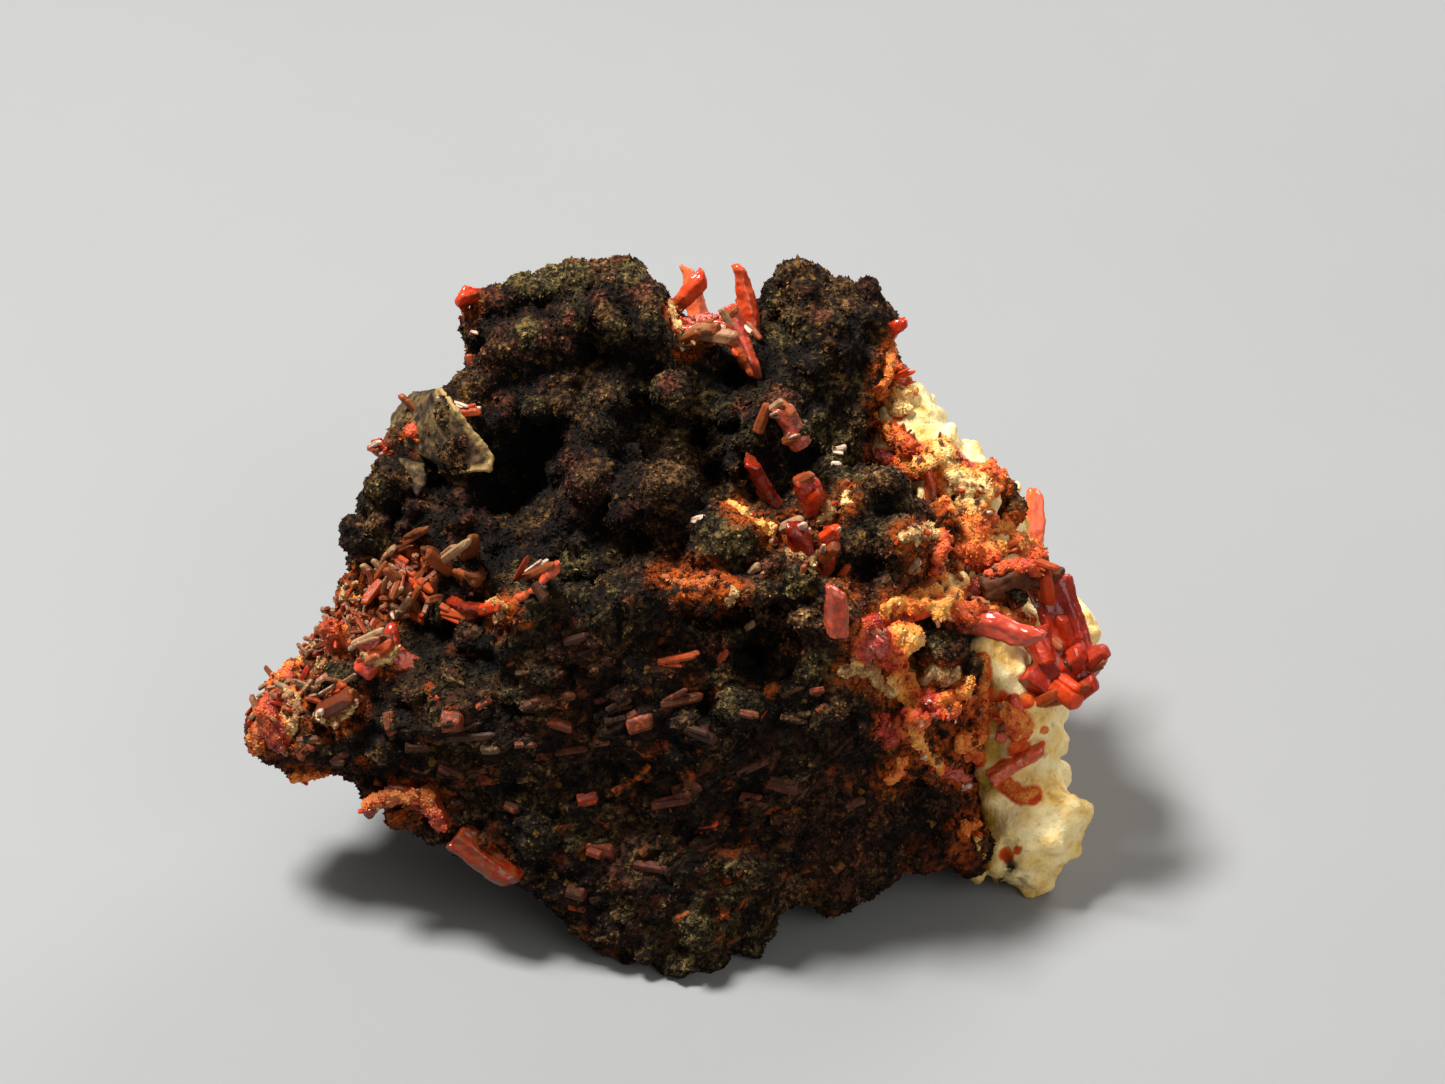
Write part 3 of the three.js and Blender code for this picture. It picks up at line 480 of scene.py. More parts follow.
class Shader:
    """A material built from procedural nodes."""

    def __init__(self, name):
        self.material = bpy.data.materials.new(name)
        self.material.use_nodes = True
        self.tree = self.material.node_tree
        self.tree.nodes.clear()
        self.surface = self.node("BsdfPrincipled")
        output = self.node("OutputMaterial")
        self.tree.links.new(self.surface.outputs[0], output.inputs["Surface"])
        self.place = self.node("TexCoord").outputs["Object"]

    def node(self, kind, **settings):
        node = self.tree.nodes.new("ShaderNode" + kind)
        for name, value in settings.items():
            setattr(node, name, value)
        return node

    def put(self, socket, value):
        if isinstance(value, bpy.types.NodeSocket):
            self.tree.links.new(value, socket)
        else:
            socket.default_value = value

    def set(self, **inputs):
        for name, value in inputs.items():
            self.put(self.surface.inputs[name.replace("_", " ")], value)

    def mask(self, name, strength=1):
        """What the mesh is painted with under a name, times a strength."""
        value = self.node("Attribute", attribute_name=name).outputs["Fac"]
        return value if strength == 1 else self.times(value, strength)

    def noise(self, size, detail=4):
        """Cloudy noise with features of that size in millimetres, from 0 to 1."""
        return self.noise_over(self.place, size * MM, detail, 0.6)

    def noise_over(self, place, size, detail, roughness):
        node = self.node("TexNoise")
        self.put(node.inputs["Vector"], place)
        self.put(node.inputs["Scale"], 1 / size)
        self.put(node.inputs["Detail"], detail)
        self.put(node.inputs["Roughness"], roughness)
        return node.outputs["Fac"]

    def grooves(self, width):
        """Noise drawn out along a crystal's length."""
        drawn = self.node("VectorMath", operation="MULTIPLY")
        self.put(drawn.inputs[0], self.node("Attribute", attribute_name="grain").outputs["Vector"])
        self.put(drawn.inputs[1], (1, 1, 0.05))
        return self.noise_over(drawn.outputs[0], width, 2, 0.5)

    def cells(self, size, output="Color"):
        """Angular grains of that size in millimetres, each with its own random value."""
        node = self.node("TexVoronoi")
        self.put(node.inputs["Vector"], self.place)
        self.put(node.inputs["Scale"], 1 / (size * MM))
        return node.outputs[output]

    def one_of(self, colour):
        """One random number per grain."""
        node = self.node("SeparateColor")
        self.put(node.inputs[0], colour)
        return node.outputs[0]

    def between(self, value, low, high):
        """0 below low, 1 above high."""
        node = self.node("MapRange", interpolation_type="SMOOTHSTEP")
        self.put(node.inputs["Value"], value)
        self.put(node.inputs["From Min"], low)
        self.put(node.inputs["From Max"], high)
        return node.outputs["Result"]

    def patches(self, size, low, high, detail=4):
        """Cloudy patches: 0 where the noise is below low, 1 where it is above high."""
        return self.between(self.noise(size, detail), low, high)

    def math(self, operation, a, b):
        node = self.node("Math", operation=operation)
        self.put(node.inputs[0], a)
        self.put(node.inputs[1], b)
        return node.outputs[0]

    def times(self, a, b):
        return self.math("MULTIPLY", a, b)

    def plus(self, a, b):
        return self.math("ADD", a, b)

    def ramp(self, value, *stops):
        """A colour for each value: stops are (position, hex code)."""
        node = self.node("ValToRGB")
        elements = node.color_ramp.elements
        for element, (position, code) in zip(elements, (stops[0], stops[-1])):
            element.position = position
            element.color = rgb(code)
        for position, code in stops[1:-1]:
            elements.new(position).color = rgb(code)
        self.put(node.inputs["Fac"], value)
        return node.outputs["Color"]

    def mix(self, share, one, other):
        """One colour going over into another: each a hex code or a socket."""
        node = self.node("Mix", data_type="RGBA")
        self.put(node.inputs["Factor"], share)
        self.put(node.inputs[6], rgb(one) if isinstance(one, str) else one)
        self.put(node.inputs[7], rgb(other) if isinstance(other, str) else other)
        return node.outputs[2]

    def bump(self, *layers):
        """Bumps, from coarse to fine: layers are (height, millimetres high)."""
        normal = None
        for height, distance in layers:
            node = self.node("Bump")
            self.put(node.inputs["Height"], height)
            self.put(node.inputs["Strength"], 1.0)
            self.put(node.inputs["Distance"], distance * MM)
            if normal:
                self.put(node.inputs["Normal"], normal)
            normal = node.outputs["Normal"]
        self.put(self.surface.inputs["Normal"], normal)

    def glow(self, weight, red, green, blue):
        """How far each colour of light spreads inside, in millimetres."""
        self.put(self.surface.inputs["Subsurface Weight"], weight)
        self.put(self.surface.inputs["Subsurface Radius"], (red * MM, green * MM, blue * MM))


def gossan_material():
    """Crumbly iron and manganese oxides: olive, tan, rosy or rusty where the painted patches say so,
    with dark pits. Painted shade makes it black in the creases and hollows, and painted light makes
    the tops that face up paler. Each crumb differs a little from its neighbours."""
    s = Shader("gossan")
    pits = s.patches(0.3, 0.36, 0.64, detail=3)
    own = s.plus(s.times(pits, 0.65), s.mask("tint", 0.35))
    dark = s.ramp(own, (0.0, "#050302"), (0.4, "#100a05"), (0.75, "#23160d"), (1.0, "#48311b"))
    olive = s.ramp(own, (0.0, "#130e06"), (0.35, "#3c3017"), (0.7, "#6e5a33"), (1.0, "#a48e5a"))
    tan = s.ramp(own, (0.0, "#160c05"), (0.35, "#432b15"), (0.7, "#775530"), (1.0, "#b28c58"))
    rose = s.ramp(own, (0.0, "#150904"), (0.35, "#422111"), (0.7, "#6f402a"), (1.0, "#a3704e"))
    pale = s.mix(s.between(s.mask("hue"), 0.1, 0.45), olive, tan)
    pale = s.mix(s.between(s.mask("hue"), 0.55, 0.9), pale, rose)
    # painted light: tops that face up are painted paler
    share = s.plus(s.mask("pale"), s.mask("lit_top", 0.4))
    colour = s.mix(s.times(share, s.patches(0.9, 0.3, 0.5)), dark, pale)
    ember = s.ramp(s.mask("warmth"), (0.0, "#24140a"), (0.5, "#4c2c18"), (0.8, "#7e3b1e"), (1, "#bc5018"))
    colour = s.mix(s.times(s.mask("ember"), s.patches(0.35, 0.35, 0.6)), colour, ember)
    rust = s.ramp(s.plus(s.noise(0.5), s.mask("tint", 0.25)), (0.35, "#4a1a08"), (0.8, "#c65a18"))
    colour = s.mix(s.times(s.mask("rust"), s.patches(0.5, 0.38, 0.56)), colour, rust)
    ochre = s.times(s.between(s.one_of(s.cells(0.3)), 0.94, 0.96), s.patches(1.5, 0.5, 0.62))
    colour = s.mix(s.times(ochre, 0.7), colour, "#8a6020")
    # painted shade: the creases go nearly black
    colour = s.mix(s.mask("crease", 0.85), colour, "#050403")
    # painted shade: the hollows and the broken face go nearly black
    colour = s.mix(s.mask("painted_shade", 0.85), colour, "#040302")
    glint = s.between(s.times(s.mask("tint"), s.noise(0.5)), 0.54, 0.58)
    s.set(
        Base_Color=colour,
        Roughness=s.math("SUBTRACT", 0.9, s.times(glint, 0.6)),
        Specular_IOR_Level=0.14,
    )
    s.bump((s.noise(0.3, 3), 0.12), (s.cells(0.2, "Distance"), 0.05))
    return s.material


def limonite_material():
    """Cream to yellow-green clay-like limonite with orange stains, with painted shade in its creases and
    cavities.
    """
    s = Shader("limonite")
    cream = s.ramp(s.noise(1.8, 6), (0.3, "#d09838"), (0.43, "#fad280"), (0.58, "#ffe8ae"))
    colour = s.mix(s.mask("green"), cream, s.ramp(s.noise(0.9, 5), (0.3, "#8f6410"), (0.7, "#cfa83e")))
    stain = s.ramp(s.noise(0.9, 5), (0.3, "#a82806"), (0.5, "#d24608"), (0.72, "#e88a30"))
    edge = s.between(s.plus(s.mask("stain"), s.times(s.noise(0.8, 6), 1.1)), 0.85, 1.3)
    colour = s.mix(edge, colour, stain)
    pits = s.patches(0.35, 0.6, 0.7)
    colour = s.mix(s.times(pits, 0.45), colour, "#8a6428")
    # painted shade: darker brown in the creases
    colour = s.mix(s.mask("crease", 0.6), colour, "#6d4514")
    # painted shade: the cavities at the foot of the lobe go nearly black
    colour = s.mix(s.times(s.mask("black"), s.patches(0.4, 0.3, 0.5)), colour, "#120e0a")
    s.set(Base_Color=colour, Roughness=0.8, Specular_IOR_Level=0.3)
    s.glow(0.15, 0.9, 0.6, 0.3)
    s.bump((s.noise(0.7, 6), 0.25), (s.noise(0.18, 3), 0.06))
    return s.material


def crust_material():
    """The rind between rock and crystals: tan and cream crumbs, orange powder, red chips, with painted shade
    in its creases and on a few patches.
    """
    s = Shader("orange_crust")
    shade = s.math("SUBTRACT", s.noise(0.45, 6), 0.5)
    colour = s.ramp(
        s.plus(s.mask("tint"), s.times(shade, 0.5)),
        (0.0, "#9a6a36"),
        (0.14, "#f4cf86"),
        (0.32, "#ec9c3a"),
        (0.5, "#dc6414"),
        (0.68, "#bc360a"),
        (0.84, "#981a06"),
        (1.0, "#d06a54"),
    )
    # painted shade: the creases and the listed patches go dark red-brown
    colour = s.mix(s.mask("crease", 0.6), colour, "#6a2006")
    dirt = s.patches(0.3, 0.6, 0.68)
    colour = s.mix(s.times(dirt, 0.35), colour, "#5a3212")
    s.set(
        Base_Color=colour,
        Roughness=s.math("SUBTRACT", 0.7, s.times(s.between(s.mask("tint"), 0.4, 0.9), 0.42)),
    )
    s.glow(0.15, 0.8, 0.35, 0.15)
    s.bump((s.noise(0.25, 5), 0.12), (s.cells(0.14, "Distance"), 0.06))
    return s.material


def crocoite_material(name, deep, middle, pale, roughness, shine):
    """Translucent crystal, grooved along its length and dusty at its foot."""
    s = Shader(name)
    depth = s.plus(s.times(s.noise(1.0, 3), 0.6), s.mask("tint", 0.55))
    colour = s.ramp(depth, (0.2, deep), (0.5, middle), (0.85, pale))
    dust = s.plus(s.mask("foot", 0.95), s.times(s.patches(0.5, 0.56, 0.7, detail=5), 0.35))
    colour = s.mix(s.times(dust, s.patches(0.3, 0.35, 0.6)), colour, "#6a3a1c")
    streaks = s.grooves(0.2)
    s.set(
        Base_Color=colour,
        Roughness=s.plus(roughness, s.times(s.between(streaks, 0.5, 0.75), 0.25)),
        IOR=1.6,
        Specular_IOR_Level=shine,
        Transmission_Weight=0.1,
    )
    s.glow(0.3, 0.7, 0.25, 0.1)
    s.bump((s.noise(0.5, 3), 0.05), (streaks, 0.015))
    return s.material


def chip_material():
    """Small crystals of every tint, from brown and dull to orange and bright, and the palest for painted
    glints.
    """
    s = Shader("crocoite_chips")
    colour = s.ramp(
        s.mask("tint"),
        (0.0, "#24130c"),
        (0.18, "#5a3018"),
        (0.3, "#a42808"),
        (0.4, "#8a4420"),
        (0.55, "#a07c58"),
        (0.7, "#a4421a"),
        (0.85, "#d03c0a"),
        # painted highlight: the palest tint is for small prisms that stand for glints
        (1.0, "#d4b49c"),
    )
    dirt = s.between(s.plus(s.noise(0.3, 5), s.mask("dust", 0.2)), 0.5, 0.66)
    colour = s.mix(s.times(dirt, s.plus(0.2, s.mask("dust", 0.7))), colour, "#2e1c10")
    s.set(
        Base_Color=colour,
        Roughness=s.plus(s.plus(0.15, s.times(s.noise(0.5), 0.4)), s.mask("dust", 0.3)),
        IOR=1.5,
        Specular_IOR_Level=0.22,
    )
    s.glow(0.1, 0.5, 0.2, 0.1)
    s.bump((s.noise(0.35, 3), 0.05))
    return s.material


def flake_material():
    """A tan plate of limonite, with painted shade on one face and a painted highlight along its rim."""
    s = Shader("tan_flake")
    colour = s.ramp(s.noise(0.5, 6), (0.36, "#180f06"), (0.48, "#3c2a13"), (0.64, "#6e562c"))
    # painted shade: one face goes dark and rosy
    painted_shade = s.mask("painted_shade", 0.75)
    rosy = s.ramp(s.noise(0.4), (0.3, "#1d130c"), (0.7, "#6a4733"))
    colour = s.mix(painted_shade, colour, rosy)
    # painted highlight: the rim is paler
    colour = s.mix(s.times(s.mask("rim"), s.patches(0.4, 0.25, 0.5)), colour, "#a48550")
    s.set(Base_Color=colour, Roughness=0.75, Specular_IOR_Level=0.35)
    s.bump((s.noise(0.3), 0.08))
    return s.material


# ---- the rocks ----

CORE_VOXEL = 0.45
GOSSAN_VOXEL = 0.22
LIMONITE_VOXEL = 0.2
TOUCH = 0.35  # the rocks grow this much, which closes the gap that the CAD keeps between them
KNOB_ROOM = 0.6  # how far the gossan sinks between its knobs
FACE_ROOM = 0.8  # how much less of that the broken face needs
HOLLOW_WALL = (0.35, 1.15)  # where a hollow's wall starts and ends, in units of its radius
RELIEF_SPAN = 0.14  # a corner this far above the worn surface is all top, and below it all crease
GRAIN_REACH = (0.3, 0.6)  # a rod's or grain's colour is full within the first and gone at the second
SHOW_EDGE = (-6, 0)  # between these distances out of the middle, the back goes over into the front
BACK_EDGE = -0.2  # normals less outward than this belong to the back

# Relief, as (pattern, height, size of its features, seed)
GOSSAN_RELIEF = [(lumps, 0.18, 0.6, 1.9), (waves, 0.15, 3.0, 5.5), (waves, 0.3, 1.2, 2.5)]
LIMONITE_RELIEF = [(lumps, 0.12, 0.7, 4.1), (waves, 0.2, 1.4, 8.8)]

# Knobs listed one by one, as (place, (radius across, up, out), how far it stands out, turn in degrees)
GOSSAN_KNOBS = [
    # the cauliflower top of the upper left mass
    ((-8.0, 16.8), (1.26, 0.99, 1.3), 0.7, 0),
    ((-6.6, 17.4), (1.05, 0.89, 1.2), 0.6, 0),
    ((-5.1, 17.5), (1.05, 0.89, 1.2), 0.5, 0),
    ((-7.3, 16.8), (1.05, 0.63, 1.1), 0.9, 0),
    ((-5.6, 17.1), (0.89, 0.73, 1.0), 0.6, 0),
    ((-2.8, 17.5), (0.94, 0.84, 1.2), 0.6, 0),
    ((-2.1, 16.7), (0.84, 0.94, 1.1), 0.6, 0),
    ((-3.8, 15.4), (0.78, 1.73, 1.3), 1.3, 32),
    ((-5.9, 15.4), (0.68, 0.84, 0.9), 0.9, 0),
    ((-1.7, 15.0), (0.78, 1.05, 1.0), 0.6, 0),
    ((-8.0, 14.6), (1.05, 0.78, 1.1), 0.7, 10),
    ((-9.6, 13.6), (0.99, 0.68, 1.0), 0.7, 20),
    ((-7.1, 14.2), (0.73, 0.58, 0.9), 0.5, 0),
    ((-10.7, 14.5), (0.84, 0.73, 0.9), 0.5, 0),
    ((-11.6, 13.7), (0.63, 0.73, 0.8), 0.4, 0),
    # knobs in and round the deep hollow
    ((-0.5, 11.5), (1.05, 1.31, 1.6), 1.6, 8),
    ((-4.1, 11.1), (0.89, 0.73, 1.0), 0.8, 0),
    ((-6.3, 12.3), (0.89, 0.42, 0.7), 0.6, 0),
    ((-7.5, 10.7), (1.05, 0.78, 1.0), 0.2, 0),
    ((-10.9, 11.9), (1.15, 0.73, 1.0), 0.5, -20),
    ((-9.3, 11.0), (0.94, 0.63, 0.9), 0.4, -25),
    ((-4.3, 9.4), (0.84, 0.84, 0.9), 0.3, 0),
    ((-2.2, 9.8), (0.78, 0.78, 0.8), 0.3, 0),
    ((-0.9, 6.5), (1.78, 1.41, 1.9), 1.3, 0),
    ((-4.9, 6.6), (1.15, 1.05, 1.3), 0.9, 0),
    ((-5.6, 5.1), (0.84, 0.94, 1.0), 0.4, 0),
    ((-3.0, 5.4), (0.78, 0.78, 0.9), 0.4, 0),
    ((2.3, 4.0), (1.94, 1.73, 2.0), 1.2, 35),
    ((1.2, 3.0), (1.05, 0.84, 1.2), 0.7, 0),
    ((5.1, 10.7), (1.1, 0.94, 1.4), 1.0, 0),
    ((6.1, 9.6), (0.58, 0.73, 0.9), 0.9, 30),
    ((2.7, 10.5), (1.05, 0.84, 0.9), 0.6, 0),
    ((-12.3, 12.4), (1.05, 0.68, 0.9), 0.4, 0),
    ((-15.7, 6.9), (0.52, 1.05, 0.8), 0.4, 0),
    # the lip under the left wing
    ((-16.0, -10.1), (0.73, 0.68, 1.0), 0.6, 0),
    ((-15.2, -11.0), (0.84, 0.63, 1.0), 0.5, 0),
    ((-14.0, -10.6), (0.84, 0.73, 1.0), 0.5, 0),
    ((-12.9, -11.5), (0.73, 0.63, 0.9), 0.5, 0),
    ((-11.8, -12.4), (0.73, 0.63, 0.9), 0.4, 0),
    ((-10.6, -13.4), (0.73, 0.63, 0.9), 0.4, 0),
    # along the ledge
    ((-5.5, 2.3), (1.26, 0.84, 1.1), 0.5, 0),
    ((-3.7, 1.7), (0.94, 0.84, 1.0), 0.6, 0),
    ((-2.0, 2.3), (1.05, 0.78, 1.0), 0.6, 0),
    ((0.4, 1.8), (1.15, 0.52, 0.9), 0.8, -5),
    ((2.4, 1.2), (0.73, 0.63, 0.8), 0.7, -20),
    ((-7.2, 1.2), (0.84, 0.73, 0.8), 0.4, 0),
    ((4.3, 2.3), (1.36, 0.73, 1.2), 0.9, 30),
    ((4.3, 0.1), (0.73, 0.63, 0.9), 0.6, 0),
    ((6.1, 1.7), (0.84, 1.05, 1.0), 0.6, 0),
    ((6.4, -0.3), (1.31, 0.73, 1.1), 0.6, 10),
    ((7.2, -2.9), (1.26, 0.84, 1.1), 0.6, 20),
    # the right flank
    ((11.5, 3.8), (1.41, 1.46, 1.6), 0.9, 0),
    ((10.3, 6.7), (1.36, 0.94, 1.1), 0.6, 0),
    ((12.3, 6.4), (1.05, 0.94, 1.1), 0.6, 0),
    ((13.4, 5.1), (0.63, 0.94, 0.9), 0.5, 0),
    ((9.4, -4.0), (1.46, 1.26, 1.3), 0.6, 0),
    ((13.7, -1.9), (1.26, 1.15, 1.4), 0.9, 0),
    ((14.9, -2.9), (0.73, 0.84, 0.8), 0.5, 0),
    ((17.3, 6.6), (0.63, 0.63, 0.9), 0.9, 0),
    ((17.4, 5.3), (0.63, 0.73, 0.9), 0.9, 0),
    ((14.7, 2.5), (0.84, 0.63, 0.9), 0.5, -30),
    ((16.6, 1.2), (1.26, 0.73, 1.0), 0.5, -30),
    ((12.9, -9.3), (1.78, 1.46, 1.2), 0.5, -30),
    ((11.6, -7.7), (1.15, 1.05, 1.0), 0.4, 0),
    ((14.0, -7.1), (0.94, 0.73, 0.9), 0.5, 0),
    # the upper right mass
    ((5.9, 17.8), (1.15, 0.78, 1.2), 0.5, 0),
    ((4.8, 16.8), (0.73, 0.94, 1.0), 0.5, 0),
    ((6.7, 16.8), (0.94, 0.84, 1.0), 0.4, 0),
    ((8.4, 16.7), (0.94, 0.73, 1.0), 0.5, 0),
    ((6.1, 15.4), (0.94, 0.84, 0.9), 0.4, 0),
    ((9.7, 15.5), (1.05, 0.78, 0.9), 0.4, 0),
    ((8.7, 13.7), (0.94, 0.84, 0.9), 0.4, 0),
    ((10.4, 14.2), (0.63, 1.05, 0.9), 0.5, -15),
    ((6.9, 12.9), (0.84, 0.73, 0.8), 0.3, 0),
    ((9.2, 11.3), (0.84, 1.05, 0.9), 0.4, 0),
]

# Knobs set at random, as (how many, least and greatest radius, subdivisions of their ball)
LARGE_KNOBS = (1800, 0.5, 1.25, 2)
SMALL_KNOBS = (9000, 0.22, 0.55, 1)

# Holes between the knobs, carved in and darkened with painted shade, as (place, radius, depth)
HOLLOWS = [
    ((-9.0, 6.9), 2.72, 2.6), ((-7.5, 9.3), 1.78, 1.6), ((-10.1, 3.5), 1.99, 1.8),
    ((-3.6, 13.2), 0.94, 1.3), ((-2.0, 12.8), 0.73, 1.2), ((-7.2, 15.9), 1.15, 0.9),
    ((-8.8, 15.9), 0.84, 0.9), ((-5.1, 13.7), 0.94, 1.0), ((-7.5, 12.6), 0.84, 0.7),
    ((-9.3, 12.0), 0.52, 0.5), ((-2.5, 3.5), 1.26, 1.3), ((-2.8, 8.2), 1.15, 1.2),
    ((2.6, 12.2), 0.99, 1.9), ((1.0, 9.3), 1.15, 1.2), ((1.7, 7.4), 0.84, 0.9),
    ((0.9, 15.3), 0.73, 1.0), ((4.2, 14.0), 0.73, 0.9), ((6.4, 8.2), 1.15, 1.3),
    ((5.1, 6.1), 0.63, 0.8), ((3.6, -2.4), 1.36, 1.6), ((-1.3, 0.9), 0.84, 0.8),
    ((2.7, -0.3), 0.84, 0.8), ((-0.8, -1.5), 1.36, 0.6), ((7.9, 2.3), 0.63, 0.8),
    ((9.7, 2.2), 0.84, 0.8), ((10.8, 5.6), 1.05, 0.5), ((13.3, 1.9), 0.58, 0.8),
    ((13.9, 4.0), 0.42, 0.6), ((16.6, 2.2), 0.84, 0.7), ((16.1, -0.4), 0.84, 0.7),
    ((-14.6, 8.5), 0.84, 0.9), ((-12.7, 6.4), 0.94, 0.9), ((-15.1, 5.3), 0.94, 0.8),
    ((-19.6, -2.9), 0.42, 0.9), ((-13.2, -1.5), 1.88, 1.2), ((-10.6, -2.5), 1.78, 0.8),
    ((4.0, 14.7), 0.73, 0.6), ((12.1, -2.8), 0.47, 0.6), ((-6.4, -0.9), 1.57, 0.6),
    ((7.7, -6.7), 1.36, 0.5), ((16.0, 5.8), 0.37, 0.6), ((13.9, 6.9), 0.37, 0.6),
    ((-17.4, -4.6), 0.84, 0.4), ((12.9, -5.6), 0.52, 0.5),
]

# The broken lower face, as (place, radius)
BROKEN_FACE = [
    ((-4.3, -7.7), 6.5), ((4.0, -9.8), 6.5), ((-12.2, -6.7), 4.5), ((-0.2, -15.1), 6), ((-6.4, -2.5), 3.5),
]

# Pale patches on the gossan, as (place, radius, hue)
OLIVE, TAN, ROSE = 0.05, 0.5, 0.95
PALE_PATCHES = [
    # the upper left mass
    ((-8.0, 17.6), 1.36, OLIVE), ((-5.9, 18.1), 1.46, OLIVE), ((-4.2, 18.3), 0.94, TAN),
    ((-2.5, 17.9), 0.94, OLIVE), ((-7.2, 16.9), 0.84, OLIVE), ((-2.2, 16.8), 0.73, ROSE),
    ((-1.6, 16.2), 0.63, TAN), ((-4.4, 16.7), 0.47, ROSE), ((-4.0, 15.7), 0.68, TAN),
    ((-3.5, 14.7), 0.78, OLIVE), ((-5.9, 15.4), 0.52, ROSE), ((-8.1, 14.9), 0.89, OLIVE),
    ((-7.1, 14.3), 0.52, ROSE), ((-9.4, 13.6), 0.73, TAN), ((-9.7, 13.0), 0.42, ROSE),
    ((-6.3, 12.4), 0.63, TAN), ((-4.2, 11.5), 0.68, TAN), ((-7.7, 10.8), 0.63, OLIVE),
    ((-11.1, 15.2), 0.68, ROSE), ((-11.8, 14.0), 0.58, TAN), ((-11.1, 11.9), 0.94, TAN),
    ((-9.5, 11.0), 0.73, ROSE), ((-12.7, 12.6), 0.63, OLIVE),
    # the left shoulder
    ((-13.8, 10.8), 1.36, OLIVE), ((-15.3, 9.5), 0.94, TAN), ((-14.2, 7.0), 0.63, TAN),
    ((-16.0, 6.6), 0.63, OLIVE), ((-16.3, 4.8), 0.58, TAN), ((-15.6, 3.8), 0.63, OLIVE),
    # the middle
    ((-0.8, 12.0), 0.73, ROSE), ((-0.4, 11.0), 0.73, OLIVE), ((-0.9, 7.2), 1.26, TAN),
    ((-4.9, 7.2), 0.84, TAN), ((-5.6, 5.9), 0.52, ROSE), ((2.3, 3.8), 1.46, OLIVE),
    ((3.2, 5.2), 0.73, OLIVE), ((5.1, 11.0), 0.94, ROSE), ((6.3, 9.6), 0.47, OLIVE),
    ((3.2, 10.8), 0.52, ROSE), ((7.4, 9.8), 0.73, OLIVE), ((8.3, 8.2), 0.63, OLIVE),
    ((4.3, 2.5), 1.05, ROSE), ((6.1, 1.4), 0.94, OLIVE), ((8.1, 5.9), 0.84, OLIVE),
    ((4.3, 0.2), 0.68, TAN), ((6.4, -0.3), 1.15, TAN), ((2.2, 1.3), 0.63, ROSE),
    ((-5.6, 2.7), 0.84, OLIVE), ((-3.7, 1.3), 0.37, OLIVE), ((-2.7, 0.6), 0.42, ROSE),
    ((-0.9, -1.0), 0.73, TAN), ((1.9, -1.7), 0.73, ROSE), ((2.2, -2.9), 0.47, TAN),
    ((-0.4, -2.4), 1.26, ROSE), ((7.2, -2.8), 1.15, OLIVE), ((8.7, -4.1), 1.15, TAN),
    # the right flank and the upper right mass
    ((11.6, 3.9), 1.15, OLIVE), ((12.7, 4.3), 0.63, TAN), ((10.3, 6.9), 1.05, TAN),
    ((8.5, 0.6), 0.73, TAN), ((6.1, 18.0), 0.73, TAN), ((8.7, 16.3), 0.68, TAN),
    ((10.4, 14.5), 0.68, TAN), ((9.3, 11.9), 0.73, OLIVE), ((9.7, 9.5), 0.63, OLIVE),
    ((7.2, 15.8), 0.63, ROSE), ((13.4, -1.5), 0.73, OLIVE), ((13.4, -8.5), 0.63, TAN),
    ((10.8, -7.0), 0.73, TAN),
    # the lower face, its bottom tip and the wing
    ((0.9, -17.2), 2.35, OLIVE), ((6.1, -15.3), 2.09, TAN), ((3.0, -14.0), 1.57, OLIVE),
    ((0.4, -9.3), 0.63, TAN), ((-2.2, -13.0), 1.05, TAN), ((-21.3, -5.4), 1.36, TAN),
    ((-19.5, -2.2), 0.84, OLIVE), ((-15.1, 1.2), 1.05, TAN), ((-17.9, 0.4), 0.84, TAN),
    ((-17.9, -4.1), 0.63, ROSE), ((-18.2, -7.5), 0.63, OLIVE),
]

# Stretches darkened with painted shade: the middle of the hollow and the broken face, as (place, radius)
SHADED_STRETCHES = [
    ((-4.3, 7.2), 5.75), ((-4.3, -7.7), 8.89), ((4.0, -9.8), 7.32), ((-0.2, -15.1), 6.28),
    ((-12.2, -6.7), 5.75), ((-7.5, 11.1), 3.66),
]
# how strong the painted shade of those stretches is
STRETCH_SHADE = 0.4

# Rusty patches, as (place, radius)
RUST_PATCHES = [
    ((-21.7, -6.4), 1.3), ((-20.6, -3.6), 1.2), ((-18.0, -1.2), 1.2), ((-15.6, 0.6), 1.6),
    ((-14.3, 2.2), 1.5), ((0.4, 1.6), 1.5), ((-0.9, 1.9), 1.0), ((2.2, 1.0), 0.8),
    ((14.2, -7.0), 1.9), ((12.9, 2.7), 1.3), ((11.1, -8.5), 1.1), ((-14.8, -10.1), 1.5),
    ((-10.1, -13.0), 1.2), ((11.0, 14.0), 0.8), ((10.3, 11.1), 0.8), ((-9.6, 0.2), 0.7),
    ((9.5, -1.5), 1.2), ((13.2, -4.6), 1.4), ((6.1, 4.3), 1.2), ((15.8, 3.5), 1.2),
    ((15.0, -11.4), 0.9), ((-19.8, -8.5), 0.8), ((3.0, 5.3), 0.9), ((4.3, 4.6), 0.8),
    ((-14.0, 9.8), 0.5), ((-16.3, 8.7), 0.7), ((-11.1, 16.3), 0.9), ((14.7, -12.7), 0.9),
    ((8.5, 1.2), 0.9), ((11.6, -4.6), 1.0), ((-16.9, 1.9), 0.9), ((-17.7, 0.6), 0.9),
]

FACE_TURN = (-12, 0)  # between these places across, the broken face's crystals go over into rising
ROD_DEPTH = -4  # no rod lies further back than this
STICK_FLOOR = 1.0  # no stick starts lower than this
# the paints that crumbs and sticks take from the rock, among them painted light on tops and painted shade in
# creases and hollows
CRUMB_PAINTS = ("lit_top", "crease", "pale", "hue", "rust", "painted_shade", "ember", "warmth")


def frontness(points):
    return smoothstep(*SHOW_EDGE, out_of(points))


